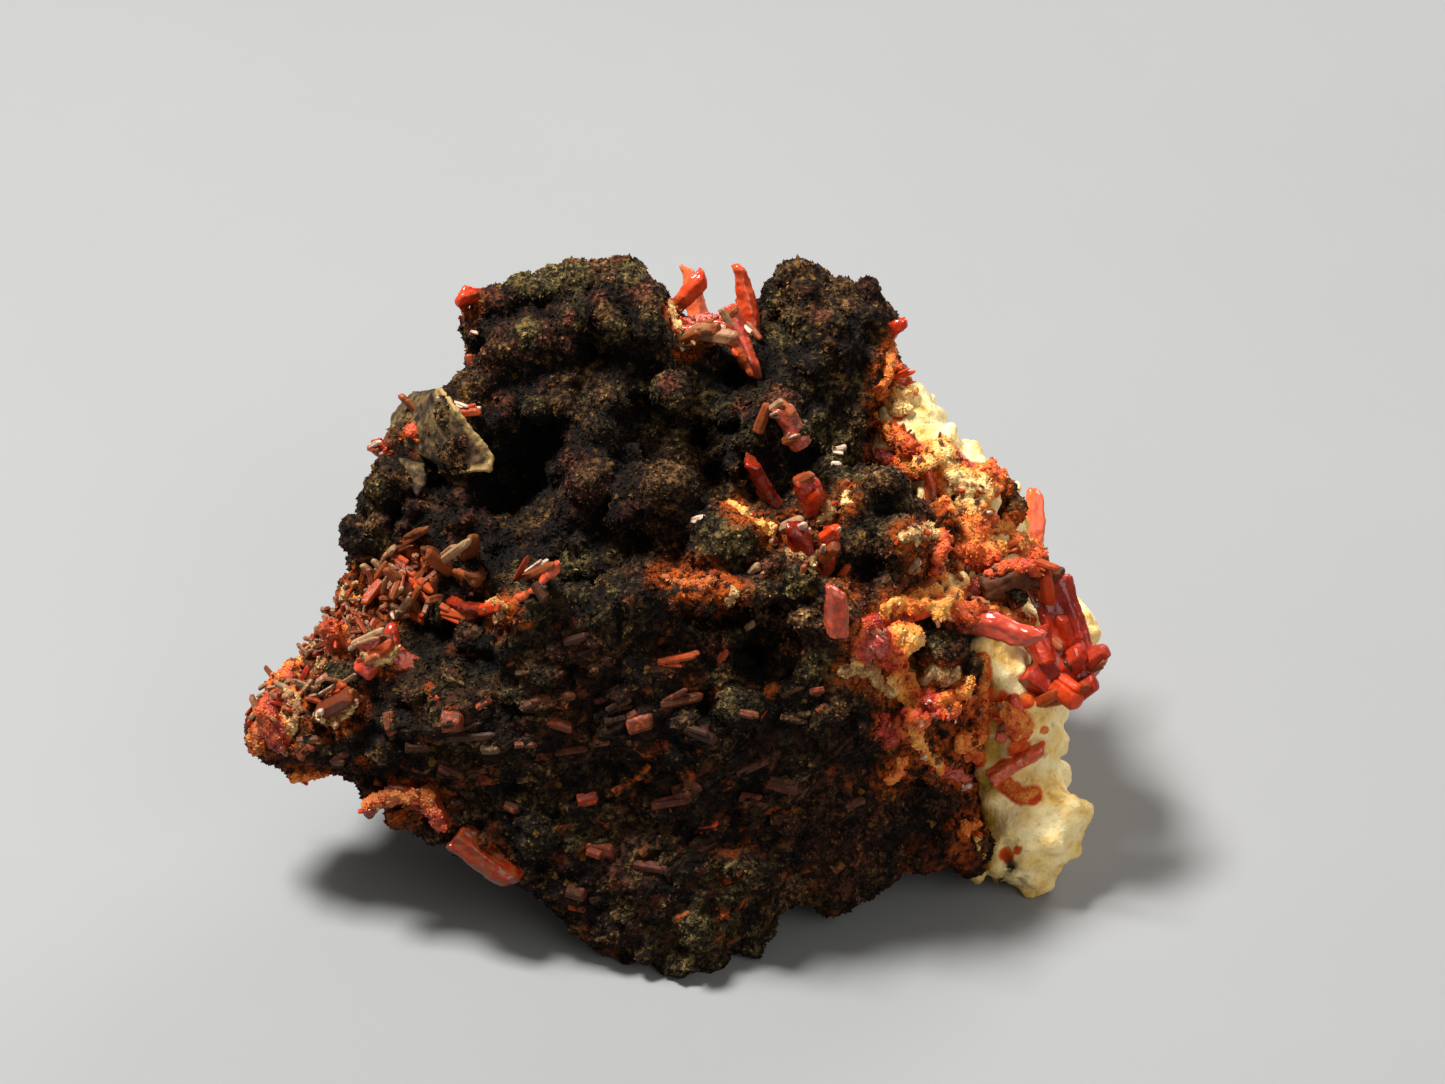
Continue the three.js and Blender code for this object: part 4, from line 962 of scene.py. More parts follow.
def hollow_at(place, power):
    """How deep the hollows are at each place, or with a small power how dark their painted shade is."""
    depths = [
        depth**power * (1 - smoothstep(*HOLLOW_WALL, away(place, spot, radius)))
        for spot, radius, depth in HOLLOWS
    ]
    return np.max(depths, axis=0)


def rock_core(node):
    """A CAD rock under an even skin, with its facets worn smooth."""
    return remeshed(object_from(cad_bmesh(node), node + "_core"), CORE_VOXEL, smoothing=4)


def gossan_core():
    """The CAD solid, sunk where knobs will stand on it and pressed in where it has hollows."""
    obj = rock_core("black_gossan")
    points = points_of(obj)
    front = frontness(points)
    place = place_of(points)
    grow = TOUCH - KNOB_ROOM * (1 - FACE_ROOM * within(BROKEN_FACE, place) * front)
    points = points + normals_of(obj) * grow[:, None]
    set_points(obj, points - np.outer(hollow_at(place, 1) * front, OUT))
    return obj


def knob_chance(points, normals):
    """How likely a random knob is: less so on the broken lower face and in the hollows."""
    place = place_of(points)
    less = np.maximum(within(BROKEN_FACE, place), 0.6 * hollow_at(place, 0.2))
    return 1 - 0.75 * less * frontness(points)


def wild_knobs(core, count, least, most, subdivisions):
    """Rounded lumps of all sizes between two, the smaller ones being the more common."""
    centres, normals, _ = sampled(core, count, knob_chance)
    radii = least + (most - least) * rng.random(len(centres)) ** 2
    centres = centres - normals * (radii * rng.uniform(-0.1, 0.6, len(radii)))[:, None]
    return grains("wild_knobs", ball(subdivisions), centres, radii)


def face_directions(centres, normals, climb, spread, share):
    """How crystals lie in the lower face: about level on its left and rising to its right. climb
    and spread are in degrees, and share says how flat they lie."""
    across = place_of(centres)[:, 0]
    rise = np.radians(5 + climb * smoothstep(*FACE_TURN, across) + rng.normal(0, spread, len(across)))
    directions = np.outer(np.cos(rise), ACROSS) + np.outer(np.sin(rise), UP)
    return flattened(directions, normals, share)


def on_face(points, normals, least_outward=0):
    """How surely each place belongs to the broken face, where its normal is outward enough."""
    return within(BROKEN_FACE, place_of(points)) * (outward(normals) > least_outward)


def rod_chance(points, normals):
    return on_face(points, normals) * (out_of(points) > ROD_DEPTH)


def face_rods(core):
    """Broken prisms packed in the lower face, and their middles."""
    centres, normals, _ = sampled(core, 7000, rod_chance)
    count = len(centres)
    directions = face_directions(centres, normals, climb=27, spread=22, share=1)
    width = rng.uniform(0.3, 0.62, count)
    thickness = width * rng.uniform(0.7, 1.1, count)
    length = rng.uniform(0.6, 1.7, count)
    starts = centres - directions * length[:, None] / 2 + normals * rng.uniform(-0.1, 0.16, count)[:, None]
    sizes = np.stack([width, thickness, length], axis=1)
    return copies("face_rods", prism(), starts, turns_along(directions), sizes), centres


def face_grains(core):
    """Rounded grains that stand out of the lower face, and where each was set."""
    centres, normals, _ = sampled(core, 1100, on_face)
    radii = rng.uniform(0.25, 0.55, len(centres))
    centres = centres + normals * (radii * 0.3)[:, None]
    return grains("face_grains", ball(2), centres, radii), centres


def gossan_body(tree):
    core = gossan_core()
    rods, rod_middles = face_rods(core)
    face_lumps, grain_middles = face_grains(core)
    large = wild_knobs(core, *LARGE_KNOBS)
    small = wild_knobs(core, *SMALL_KNOBS)
    placed = placed_knobs("hand_knobs", tree, GOSSAN_KNOBS)
    obj = joined("gossan_body", core, placed, large, small, rods, face_lumps)
    obj = remeshed(obj, GOSSAN_VOXEL, smoothing=1)
    raised(obj, relief(points_of(obj), GOSSAN_RELIEF))
    paint_gossan(obj, rod_middles, grain_middles)
    return obj


def paint_gossan(obj, rod_middles, grain_middles):
    """Where the gossan is pale or rusty, where painted shade darkens it and where painted light
    makes its up-facing tops paler, for its material and its crumbs.
    """
    points, normals = points_of(obj), normals_of(obj)
    front = frontness(points)
    place = place_of(points)
    height = relief_of(obj, iterations=10)
    # painted light: surfaces that face up count as lit, and their tops are painted paler
    lit = smoothstep(-0.6, 0.5, normals[:, 2])
    paint(obj, "lit_top", smoothstep(0, RELIEF_SPAN, height) * lit)
    # painted shade in the creases, for the material to darken
    paint(obj, "crease", smoothstep(0, -RELIEF_SPAN, height))

    pale = strengths(PALE_PATCHES, place)
    patch_hue = np.array([hue for *_, hue in PALE_PATCHES])[pale.argmax(axis=0)]
    strength = pale.max(axis=0) * front
    patch = waves(points, 3.0, 21.3)
    everywhere = smoothstep(-0.15, 0.35, patch) * 0.6
    grain, distance = nearest_of(points, grain_middles)
    on_grain = 1 - smoothstep(*GRAIN_REACH, distance)
    # painted light and shade: pale patches are stronger where the surface faces up and fainter where it
    # faces down
    patches = np.maximum(strength, everywhere) * (0.35 + 0.65 * lit)
    paint(obj, "pale", np.maximum(patches, on_grain * 0.8))
    hue = np.where(strength > everywhere, patch_hue, 0.5 + waves(points, 6.0, 3.1))
    grain_hue = rng.uniform(0.1, 0.8, len(grain_middles))
    paint(obj, "hue", np.where(on_grain > 0.1, grain_hue[grain], hue))

    back_rust = smoothstep(0.2, 0.5, -patch) * (1 - front)
    rusty_grain = rng.random(len(grain_middles)) > 0.75
    rust = np.maximum(within(RUST_PATCHES, place) * front, back_rust)
    paint(obj, "rust", np.maximum(rust, on_grain * rusty_grain[grain]))
    # painted shade: the hollows, and more faintly the stretches listed above, darkened on the front
    darker = np.maximum(hollow_at(place, 0.3), STRETCH_SHADE * within(SHADED_STRETCHES, place))
    paint(obj, "painted_shade", np.clip(darker, 0, 1) * front)

    rod, distance = nearest_of(points, rod_middles)
    kind = rng.random(len(rod_middles))[rod]
    paint(obj, "ember", (kind > 0.45) * (1 - smoothstep(*GRAIN_REACH, distance)))
    paint(obj, "warmth", np.clip((kind - 0.5) * 2, 0, 1) ** 1.6)


def dye(obj, middles, low, high, name):
    """Stains a rock round the crust: fully within low of its middles, not at all beyond high."""
    _, distance = nearest_of(points_of(obj), middles)
    paint(obj, name, np.maximum(painted(obj, name), 1 - smoothstep(low, high, distance)))


def paints_near(obj, near, crease_share):
    """What the rock's paints are at some corners, with the painted shade of its creases made fainter."""
    paints = {name: painted(obj, name)[near] for name in CRUMB_PAINTS}
    paints["crease"] *= crease_share
    return paints


def stick_chance(points, normals):
    return on_face(points, normals, least_outward=0.4) * (points[:, 2] > STICK_FLOOR)


def face_sticks(obj):
    """Crisp broken prisms lying all over the lower face, among the worn ones."""
    centres, normals, near = sampled(obj, 3600, stick_chance)
    count = len(centres)
    directions = face_directions(centres, normals, climb=25, spread=24, share=0.8)
    width = rng.uniform(0.25, 0.6, count)
    length = rng.uniform(0.5, 1.3, count)
    sizes = np.stack([width, width * rng.uniform(0.7, 1, count), length], axis=1)
    starts = centres - directions * length[:, None] / 2 - normals * width[:, None] * 0.25
    # the sticks take the rock's paints with its painted light and shade, the crease shade fainter
    paints = paints_near(obj, near, crease_share=0.3)
    paints["ember"] = np.maximum(paints["ember"], rng.random(count) > 0.5)
    paints["warmth"] = rng.random(count) ** 3
    paints["tint"] = rng.random(count)
    return copies("face_sticks", prism(), starts, turns_along(directions), sizes, **paints)


def lower_face(points):
    return within(BROKEN_FACE, place_of(points)) * frontness(points) > 0.4


def upper_chance(points, normals):
    return (outward(normals) > BACK_EDGE) & ~lower_face(points)


def face_chance(points, normals):
    return (outward(normals) > BACK_EDGE) & lower_face(points)


def back_chance(points, normals):
    return outward(normals) <= BACK_EDGE


# Crumbs, as (name, how many are tried, least and greatest radius, where they stay)
CRUMBS = [
    ("upper_crumbs", 92000, 0.07, 0.17, upper_chance),
    ("face_crumbs", 90000, 0.07, 0.16, face_chance),
    ("back_crumbs", 38000, 0.13, 0.26, back_chance),
]


def crumbs(name, obj, count, least, most, chance):
    """Angular grains stuck all over the rock, with its own patches."""
    centres, normals, near = sampled(obj, count, chance)
    radii = least + (most - least) * rng.random(len(centres)) ** 1.6
    centres = centres + normals * (radii * 0.05)[:, None]
    centres[:, 2] = np.maximum(centres[:, 2], most * 1.2)
    # the crumbs take the rock's paints with its painted light and shade, the crease shade fainter
    paints = paints_near(obj, near, crease_share=0.6)
    paints["tint"] = rng.random(len(centres))
    return grains(name, hull(GRAIN_CORNERS), centres, radii, **paints)


def cut_off(obj, name, out):
    """One closed side of an object, cut along a plane across the show side's OUT direction."""
    bm = bmesh_of(obj)
    everything = bm.verts[:] + bm.edges[:] + bm.faces[:]
    point = SHOW_CENTRE + OUT * SHOW_EDGE[0]
    bmesh.ops.bisect_plane(bm, geom=everything, plane_co=point, plane_no=out, clear_outer=True)
    bmesh.ops.holes_fill(bm, edges=[e for e in bm.edges if e.is_boundary], sides=0)
    return object_from(bm, name)


# Knobs listed one by one, as (place, (radius across, up, out), how far it stands out, turn in degrees)
LIMONITE_KNOBS = [
    ((15.8, -9.3), (0.42, 0.94, 0.8), 0.5, 0), ((15.7, -11.0), (0.42, 0.94, 0.8), 0.5, 0),
    ((15.7, -12.4), (0.47, 0.94, 0.8), 0.5, 0), ((15.8, -13.8), (0.47, 0.73, 0.8), 0.5, 0),
    ((18.1, -11.4), (1.78, 1.26, 1.4), 0.7, -15), ((19.2, -11.9), (0.84, 0.94, 1.2), 0.8, 0),
    ((16.8, -11.7), (0.73, 1.05, 1.0), 0.5, 0), ((18.1, -14.0), (0.73, 0.63, 0.9), 0.4, 0),
    ((18.9, -7.3), (0.52, 0.94, 0.9), 0.5, 0), ((18.8, -4.9), (0.68, 0.73, 0.9), 0.6, 0),
    ((17.2, -5.6), (1.15, 0.84, 1.0), 0.6, -30), ((17.7, -9.4), (0.94, 0.47, 0.9), 0.6, -20),
    ((16.3, -6.4), (0.47, 1.15, 0.9), 0.4, 0), ((11.6, 11.1), (0.78, 0.73, 1.0), 0.6, 0),
]

# Orange stains, as (place, radius), then the greener band along the gossan, and spots in its cavities that
# are painted black as shade
STAINS = [
    ((16.8, -4.9), 0.9), ((17.5, -5.8), 0.9), ((18.1, -4.6), 0.6), ((17.6, -7.1), 0.8),
    ((16.8, -8.0), 0.5), ((17.4, -9.2), 0.5), ((18.3, -9.7), 0.5), ((18.9, -6.1), 0.3),
    ((17.0, -12.7), 0.5), ((17.6, -12.4), 0.3), ((15.4, -11.3), 0.5), ((15.3, -13.0), 0.6),
]
GREEN_BAND = [
    (16.0, -4.1), (16.2, -5.6), (16.2, -7.2), (16.0, -8.8), (15.8, -10.9), (15.7, -13.0), (15.8, -14.5),
]
GREEN_RADIUS = 0.95
CAVITY_SHADE_SPOTS = [((17.2, -13.3), 0.42), ((16.7, -14.1), 0.4)]


def limonite_lumps(core):
    """Rounded lumps of all sizes, sunk into the core, most of them small."""
    centres, normals, _ = sampled(core, 900)
    radii = 0.25 + 0.7 * rng.random(len(centres)) ** 2.5
    centres = centres - normals * (radii * rng.uniform(0.1, 0.75, len(radii)))[:, None]
    return grains("limonite_lumps", ball(2), centres, radii)


def limonite_body(tree):
    core = rock_core("pale_limonite")
    set_points(core, points_of(core) + normals_of(core) * TOUCH)
    knobs = placed_knobs("limonite_knobs", tree, LIMONITE_KNOBS)
    obj = joined("limonite_body", core, knobs, limonite_lumps(core))
    obj = remeshed(obj, LIMONITE_VOXEL, smoothing=2)
    points = points_of(obj)
    raised(obj, relief(points, LIMONITE_RELIEF))
    place = place_of(points)
    back = 1 - smoothstep(-8, -3, out_of(points))
    back_stain = smoothstep(0.2, 0.5, waves(points, 4.0, 2.2)) * back
    paint(obj, "stain", np.maximum(within(STAINS, place), back_stain))
    paint(obj, "green", within([(spot, GREEN_RADIUS) for spot in GREEN_BAND], place))
    # painted shade in the cavities
    paint(obj, "black", within(CAVITY_SHADE_SPOTS, place))
    # painted shade in the creases
    paint(obj, "crease", smoothstep(0, -RELIEF_SPAN, relief_of(obj, iterations=12)))
    return obj


# ---- the orange crust ----

CRUST_VOXEL = 0.13
CRUST_RELIEF = [(lumps, 0.14, 0.4, 6.6), (waves, 0.08, 0.9, 3.3)]
CRUST_STEP = 0.8  # how far apart its middles are, in units of their radius
CRUST_SPAN = 0.08  # a corner this far below the worn surface is all crease
LUMPS_PER_SPOT = 5
# The crust's stain on a rock is full within the first distance and gone beyond the second
GOSSAN_STAIN = (0.5, 1.3)
LIMONITE_STAIN = (0.2, 0.8)

# Tints, from tan by way of cream and orange to red and pink
BUFF, CREAM, YELLOW, ORANGE, SCARLET, RED, PINK = 0.01, 0.14, 0.3, 0.45, 0.62, 0.8, 0.96

# Stretches of crust: (tint, radius, places along it)
CRUST = [
    # behind and beside the upper right mass
    (ORANGE, 0.26, [(11.0, 14.0), (10.5, 11.9), (10.0, 9.5)]),
    (CREAM, 0.58, [(11.6, 11.5), (11.3, 10.5)]),
    (YELLOW, 0.42, [(11.8, 12.4), (11.2, 12.1)]),
    (SCARLET, 0.26, [(12.3, 12.6), (11.3, 12.8)]),
    (ORANGE, 0.42, [(10.6, 9.5), (11.6, 9.0)]),
    # the cap of the right flank
    (SCARLET, 0.47, [(11.3, 8.9), (12.3, 8.5)]),
    (YELLOW, 0.42, [(11.1, 7.9), (12.0, 7.5), (12.9, 7.8)]),
    (PINK, 0.31, [(10.3, 8.2), (12.1, 7.3)]),
    (CREAM, 0.58, [(13.3, 8.5), (14.2, 7.8)]),
    (YELLOW, 0.47, [(13.7, 7.7), (14.5, 7.3)]),
    (PINK, 0.26, [(14.4, 8.2), (14.9, 7.6)]),
    (ORANGE, 0.26, [(13.2, 7.3), (13.7, 6.0), (14.3, 4.8)]),
    (BUFF, 0.26, [(14.0, 6.4), (14.3, 6.9)]),
    (CREAM, 0.63, [(15.3, 7.0), (15.5, 5.9), (14.9, 5.2)]),
    (CREAM, 0.37, [(15.4, 7.5)]),
    (SCARLET, 0.47, [(15.8, 7.4), (16.5, 7.2)]),
    (ORANGE, 0.37, [(16.3, 6.5), (16.7, 6.9)]),
    (SCARLET, 0.31, [(15.8, 4.8), (16.2, 5.0)]),
    (ORANGE, 0.37, [(14.4, 4.7), (15.8, 4.3)]),
    (YELLOW, 0.37, [(16.1, 4.3), (16.8, 4.8)]),
    (ORANGE, 0.31, [(16.7, 5.1), (17.2, 4.8)]),
    # the orange blocks below it
    (ORANGE, 0.68, [(15.0, 3.6), (16.0, 3.1)]),
    (SCARLET, 0.52, [(15.5, 2.6), (14.6, 3.2)]),
    (SCARLET, 0.42, [(13.7, 3.9), (13.4, 2.7), (13.0, 1.6)]),
    (BUFF, 0.37, [(11.6, 4.0), (13.0, 4.2)]),
    (ORANGE, 0.42, [(17.4, 3.8), (18.4, 3.5)]),
    (SCARLET, 0.37, [(17.7, 3.2), (18.7, 3.1)]),
    # the arch
    (ORANGE, 0.52, [(9.2, -2.0), (9.4, -1.0), (10.2, -0.3)]),
    (PINK, 0.42, [(9.7, -0.8), (10.6, -0.5)]),
    (SCARLET, 0.47, [(11.0, -0.3), (12.0, 0.3)]),
    (YELLOW, 0.37, [(10.6, 0.2), (11.6, 0.7), (12.7, 1.0)]),
    (ORANGE, 0.47, [(12.1, 0.4), (13.2, 0.8)]),
    (CREAM, 0.47, [(13.4, 1.3), (14.4, 1.7)]),
    (YELLOW, 0.42, [(13.4, 0.2), (14.6, 0.9)]),
    (SCARLET, 0.52, [(14.1, 0.2), (15.3, 0.0)]),
    (PINK, 0.37, [(14.7, 1.3), (15.4, 1.2)]),
    (ORANGE, 0.31, [(15.8, 0.4), (16.8, 0.0), (18.1, -0.5)]),
    # inside the arch
    (RED, 0.47, [(9.7, -1.5), (10.3, -2.0), (10.9, -2.6)]),
    (PINK, 0.42, [(9.4, -2.2), (10.2, -1.3)]),
    (CREAM, 0.73, [(11.2, -1.7), (11.8, -1.3)]),
    (SCARLET, 0.37, [(11.0, -0.8), (11.6, -0.5)]),
    (ORANGE, 0.42, [(11.2, -2.8), (11.9, -3.8), (12.3, -4.7)]),
    (YELLOW, 0.31, [(10.8, -3.5), (11.8, -4.6)]),
    (ORANGE, 0.47, [(14.6, -4.0), (15.3, -4.3)]),
    (SCARLET, 0.37, [(15.3, -5.2), (14.9, -4.9)]),
    (PINK, 0.42, [(12.9, -4.6), (13.3, -5.2)]),
    (ORANGE, 0.47, [(13.7, -4.6), (14.1, -5.0)]),
    (RED, 0.47, [(10.4, -5.8), (11.3, -6.4)]),
    (SCARLET, 0.42, [(12.0, -5.4), (12.5, -5.8)]),
    (YELLOW, 0.26, [(12.0, -5.9), (12.5, -7.1), (13.4, -8.0)]),
    (PINK, 0.31, [(13.7, -8.2), (15.1, -8.9)]),
    (ORANGE, 0.42, [(14.7, -6.6), (15.4, -7.3)]),
    (RED, 0.31, [(15.3, -7.5)]),
    (BUFF, 0.37, [(12.9, -3.1), (14.0, -3.3)]),
    (ORANGE, 0.26, [(15.7, -2.5), (15.8, -4.6), (15.5, -7.7)]),
    (BUFF, 0.31, [(8.5, -2.9), (9.7, -3.1), (10.8, -4.1)]),
    (ORANGE, 0.26, [(10.8, -8.8), (11.6, -7.7)]),
    (ORANGE, 0.26, [(14.7, -11.3), (15.4, -11.0)]),
    (SCARLET, 0.26, [(16.0, 2.0), (17.2, 2.6), (18.5, 2.2)]),
    # on the pale limonite
    (ORANGE, 0.42, [(16.7, -4.9), (17.4, -5.4), (17.9, -6.2)]),
    (SCARLET, 0.31, [(16.8, -5.8), (17.5, -6.4)]),
    (ORANGE, 0.21, [(16.9, -9.0), (17.7, -9.6), (18.4, -9.5)]),
    # between the red blocks of the middle
    (YELLOW, 0.26, [(2.7, 5.6), (3.4, 5.1)]),
    (YELLOW, 0.31, [(3.9, 4.7), (4.6, 4.3)]),
    (CREAM, 0.26, [(4.7, 3.7)]),
    (BUFF, 0.31, [(7.4, 5.1), (7.9, 5.4)]),
    (BUFF, 0.31, [(6.9, 2.7), (5.6, 3.0)]),
    (CREAM, 0.31, [(8.6, 6.0)]),
    # in the valley
    (BUFF, 0.21, [(-0.7, 16.3), (-0.4, 15.2), (0.1, 13.9)]),
    (PINK, 0.26, [(0.4, 15.2), (1.5, 15.4)]),
    # the ledge
    (ORANGE, 0.26, [(-0.9, 1.8), (0.4, 1.4), (1.7, 1.7)]),
    (BUFF, 0.26, [(2.7, 1.2), (2.4, 0.5)]),
    # the wing, its edge and the lip below it
    (ORANGE, 0.37, [(-22.2, -7.0), (-22.0, -5.9), (-21.7, -4.7), (-21.0, -3.6), (-20.4, -2.6)]),
    (BUFF, 0.42, [(-21.3, -6.6), (-20.7, -6.1), (-20.3, -4.6), (-20.9, -4.2)]),
    (BUFF, 0.58, [(-21.4, -5.5)]),
    (SCARLET, 0.26, [(-20.6, -3.3), (-20.0, -4.1)]),
    (PINK, 0.26, [(-21.1, -7.0), (-21.6, -4.6)]),
    (BUFF, 0.21, [(-19.9, -2.0), (-19.4, -1.6), (-18.9, -2.0), (-18.8, -2.6), (-19.1, -3.0)]),
    (SCARLET, 0.42, [(-18.4, -0.8), (-18.0, -1.6)]),
    (ORANGE, 0.31, [(-17.9, -0.7), (-17.6, -1.7)]),
    (CREAM, 0.16, [(-19.0, -5.4), (-18.4, -5.8), (-17.5, -5.3), (-17.1, -4.7)]),
    (ORANGE, 0.31, [(-20.2, -8.6), (-19.2, -8.5)]),
    (BUFF, 0.26, [(-17.9, 0.7), (-17.3, 1.2)]),
    (ORANGE, 0.26, [(-18.0, 0.4), (-16.9, 0.6)]),
    (ORANGE, 0.31, [(-16.4, -10.0), (-15.6, -9.7), (-14.3, -9.6), (-13.2, -9.8)]),
    (SCARLET, 0.26, [(-14.5, -9.9), (-13.2, -10.3), (-12.7, -11.2)]),
    (YELLOW, 0.26, [(-10.2, 0.3), (-9.3, 0.5)]),
    (BUFF, 0.21, [(-9.7, -0.4), (-9.4, 0.0)]),
    (BUFF, 0.21, [(-16.6, -2.2), (-15.6, -2.6), (-15.0, -1.9)]),
    (SCARLET, 0.26, [(-14.2, 9.6), (-13.9, 9.2)]),
    (RED, 0.21, [(-16.1, 9.0), (-15.6, 8.4)]),
]

# Where the crust is painted darker as shade, with the colour of its creases, as (place, radius)
SHADED_CRUST = [
    ((-15.6, -9.8), 1.4), ((-14.2, -10.0), 1.4), ((-12.9, -10.6), 1.4), ((-20.0, -1.5), 1.0),
    ((-9.6, 0.3), 0.9), ((-20.8, -4.6), 1.5), ((-17.9, -2.0), 1.2), ((-21.7, -6.4), 1.6),
    ((-19.0, 0.1), 1.2), ((-0.9, 1.7), 1.6), ((1.2, 1.4), 1.6),
]


def crust_spots(tree):
    """Where the crust's middles sit, as (point, normal, radius, tint)."""
    return [
        (*seat(tree, place), radius, tint)
        for tint, radius, places in CRUST
        for place in along(places, radius * CRUST_STEP)
    ]


def crust_body(spots):
    """The lumps of the crust, run together, with the tint of the nearest of them."""
    centres, radii = [], []
    for hit, normal, radius, _ in spots:
        for _ in range(LUMPS_PER_SPOT):
            size = radius * rng.uniform(0.5, 0.95)
            shift = Vector(rng.uniform(-0.9, 0.9, 3)) * radius
            shift -= normal * shift.dot(normal) * 0.6
            centres.append(hit + shift + normal * size * 0.1)
            radii.append(size)
    obj = grains("orange_crust", ball(2), np.array(centres), np.array(radii))
    obj = remeshed(obj, CRUST_VOXEL, smoothing=1)
    points = points_of(obj)
    raised(obj, relief(points, CRUST_RELIEF))
    tints = blended(points, [hit for hit, *_ in spots], [tint for *_, tint in spots])
    paint(obj, "tint", tints + 0.06 * waves(points, 0.8, 7.7))
    # painted shade in the creases and on the listed patches
    crease = smoothstep(0, -CRUST_SPAN, relief_of(obj, iterations=8))
    paint(obj, "crease", np.maximum(crease, within(SHADED_CRUST, place_of(points))))
    return obj


def crust_bits(obj):
    """Crumbs all over the crust, each lighter or redder than the crust under it."""
    centres, _, near = sampled(obj, 8500)
    radii = rng.uniform(0.06, 0.16, len(centres))
    tint = np.clip(painted(obj, "tint")[near] + rng.normal(0, 0.09, len(centres)), 0, 1)
    # the crumbs take the crust's painted shade, fainter
    crease = painted(obj, "crease")[near] * 0.7
    return grains("crust_bits", hull(GRAIN_CORNERS), centres, radii, tint=tint, crease=crease)


# ---- the tan flake on the left shoulder ----

# Its corners and its small neighbour's, as (place, how far out of the rock)
FLAKE = [
    ((-14.2, 11.5), -1.1), ((-12.7, 11.7), -0.2), ((-11.7, 10.5), 0.4), ((-9.9, 8.1), 1.1),
    ((-10.1, 7.5), 1.0), ((-12.1, 7.4), 0.7), ((-13.4, 8.2), -0.1), ((-15.2, 9.0), -1.0),
    ((-15.3, 10.3), -1.2),
]
FLAKE_TOOTH = [
    ((-14.9, 8.1), -0.1), ((-13.5, 7.8), 0.2), ((-13.4, 6.8), 0.3), ((-13.9, 6.1), 0.3), ((-14.5, 6.7), 0.0),
]
FLAKE_RIM = slice(1, 6)  # the corners that its pale rim runs along
FLAKE_RIM_RADIUS = 0.17
# where painted shade darkens the flake's face, as (place, radius)
FLAKE_SHADED_FACE = [((-11.1, 8.4), 0.9), ((-11.7, 7.8), 0.6)]
FLAKE_DEPTH = 2.2
FLAKE_VOXEL = 0.13
FLAKE_RELIEF = [(waves, 0.1, 0.6, 7.7), (lumps, 0.06, 0.35, 2.4)]


def plate(name, tree, rows):
    """A slab that stands out of the rock, and the corners of its face."""
    face = [sighted(place, out_of(seat(tree, place)[0]) + rise) for place, rise in rows]
    shape = hull(face + [corner - OUT * FLAKE_DEPTH for corner in face])
    return copies(name, shape, np.zeros((1, 3)), np.eye(3)[None], np.ones((1, 3))), face


def flake(tree):
    large, face = plate("flake_plate", tree, FLAKE)
    small, _ = plate("flake_tooth", tree, FLAKE_TOOTH)
    ends = face[FLAKE_RIM]
    rim = [a.lerp(b, share) for a, b in zip(ends, ends[1:]) for share in np.arange(0, 1, 0.06)]
    sizes = lump(np.full(len(rim), FLAKE_RIM_RADIUS))
    rim_balls = copies("flake_rim", ball(2), np.array(rim), random_turns(len(rim)), sizes)
    obj = remeshed(joined("tan_flake", large, small, rim_balls), FLAKE_VOXEL, smoothing=2)
    points = points_of(obj)
    raised(obj, relief(points, FLAKE_RELIEF))
    _, distance = nearest_of(points, rim)
    # painted highlight along the rim
    paint(obj, "rim", 1 - smoothstep(0.2, 0.4, distance))
    # painted shade on one face
    paint(obj, "painted_shade", within(FLAKE_SHADED_FACE, place_of(points)))
    return obj


# ---- crystals ----

# What each of the record's crocoite slots looks like: (deep, middle, pale, roughness, shine)
CROCOITE = {
    "crocoite_red": ("#480c05", "#a4260f", "#d8583c", 0.2, 0.4),
    "crocoite_orange": ("#7c1204", "#cc2e08", "#f06a3a", 0.2, 0.4),
    "crocoite_brown": ("#34190a", "#623214", "#96582c", 0.6, 0.1),
}
CRYSTAL_VOXEL = 0.12
CRYSTAL_ROOT = 1.1  # how far a crystal's cut foot runs on into the rock
FOOT_REACH = 0.6  # corners this near the rock belong to the foot
GROOVE_STRETCH = (1, 1, 0.08)  # draws the grooves out along a crystal's length
GROOVES = [(waves, 0.07, 0.35, 4.4)]
CRYSTAL_WAVES = [(waves, 0.12, 1.1, 9.9)]
DUST_REACH = (0.1, 0.9)  # a foot is all dust within the first distance of the rock, clean from the second
TINT_RANGE = (0.2, 0.8)  # for crystals that have no fixed tint

# Crystals that are dusty all over, and how much
DUSTY = {
    "lower_lip_prism": 0.9,
    "lip_rim_crystal": 0.9,
    "spray_curved_rod": 0.5,
    "wing_edge_crystal": 0.8,
    "knob_pink_crystal": 0.8,
    "ledge_left_prism": 0.5,
    "pink_red_crystal": 0.6,
    "limonite_red_arrow": 0.5,
    "brown_wedge_crystal": 0.6,
    "shoulder_rod": 0.9,
    "wing_glint_crystal": 0.5,
}

# Crystals whose tint isn't left to chance: from deep, below 0, to pale, above 1
FIXED_TINTS = {
    "lower_lip_prism": -0.3,
    "lip_rim_crystal": -0.3,
    "spray_curved_rod": -0.1,
    "back_salmon_prism": 1.3,
    "valley_far_prism": 1.2,
    "knob_pink_crystal": 0.9,
    "red_blade": 0.1,
    "round_red_crystal": 0.1,
    "valley_crossing_prism": 0.8,
    "right_edge_cluster": 0.35,
    "long_red_prism": 0.75,
    "limonite_red_arrow": 0.9,
    "brown_wedge_crystal": 0.0,
    "pink_red_crystal": 0.8,
    "pink_block": 0.5,
    "valley_leaning_prism": 0.6,
}


def long_axis(bm):
    """The direction that the sides of a prism run along: the one its normals avoid."""
    spread = np.zeros((3, 3))
    for face in bm.faces:
        normal = np.array(face.normal)
        spread += face.calc_area() * np.outer(normal, normal)
    return Vector(np.linalg.eigh(spread)[1][:, 0])


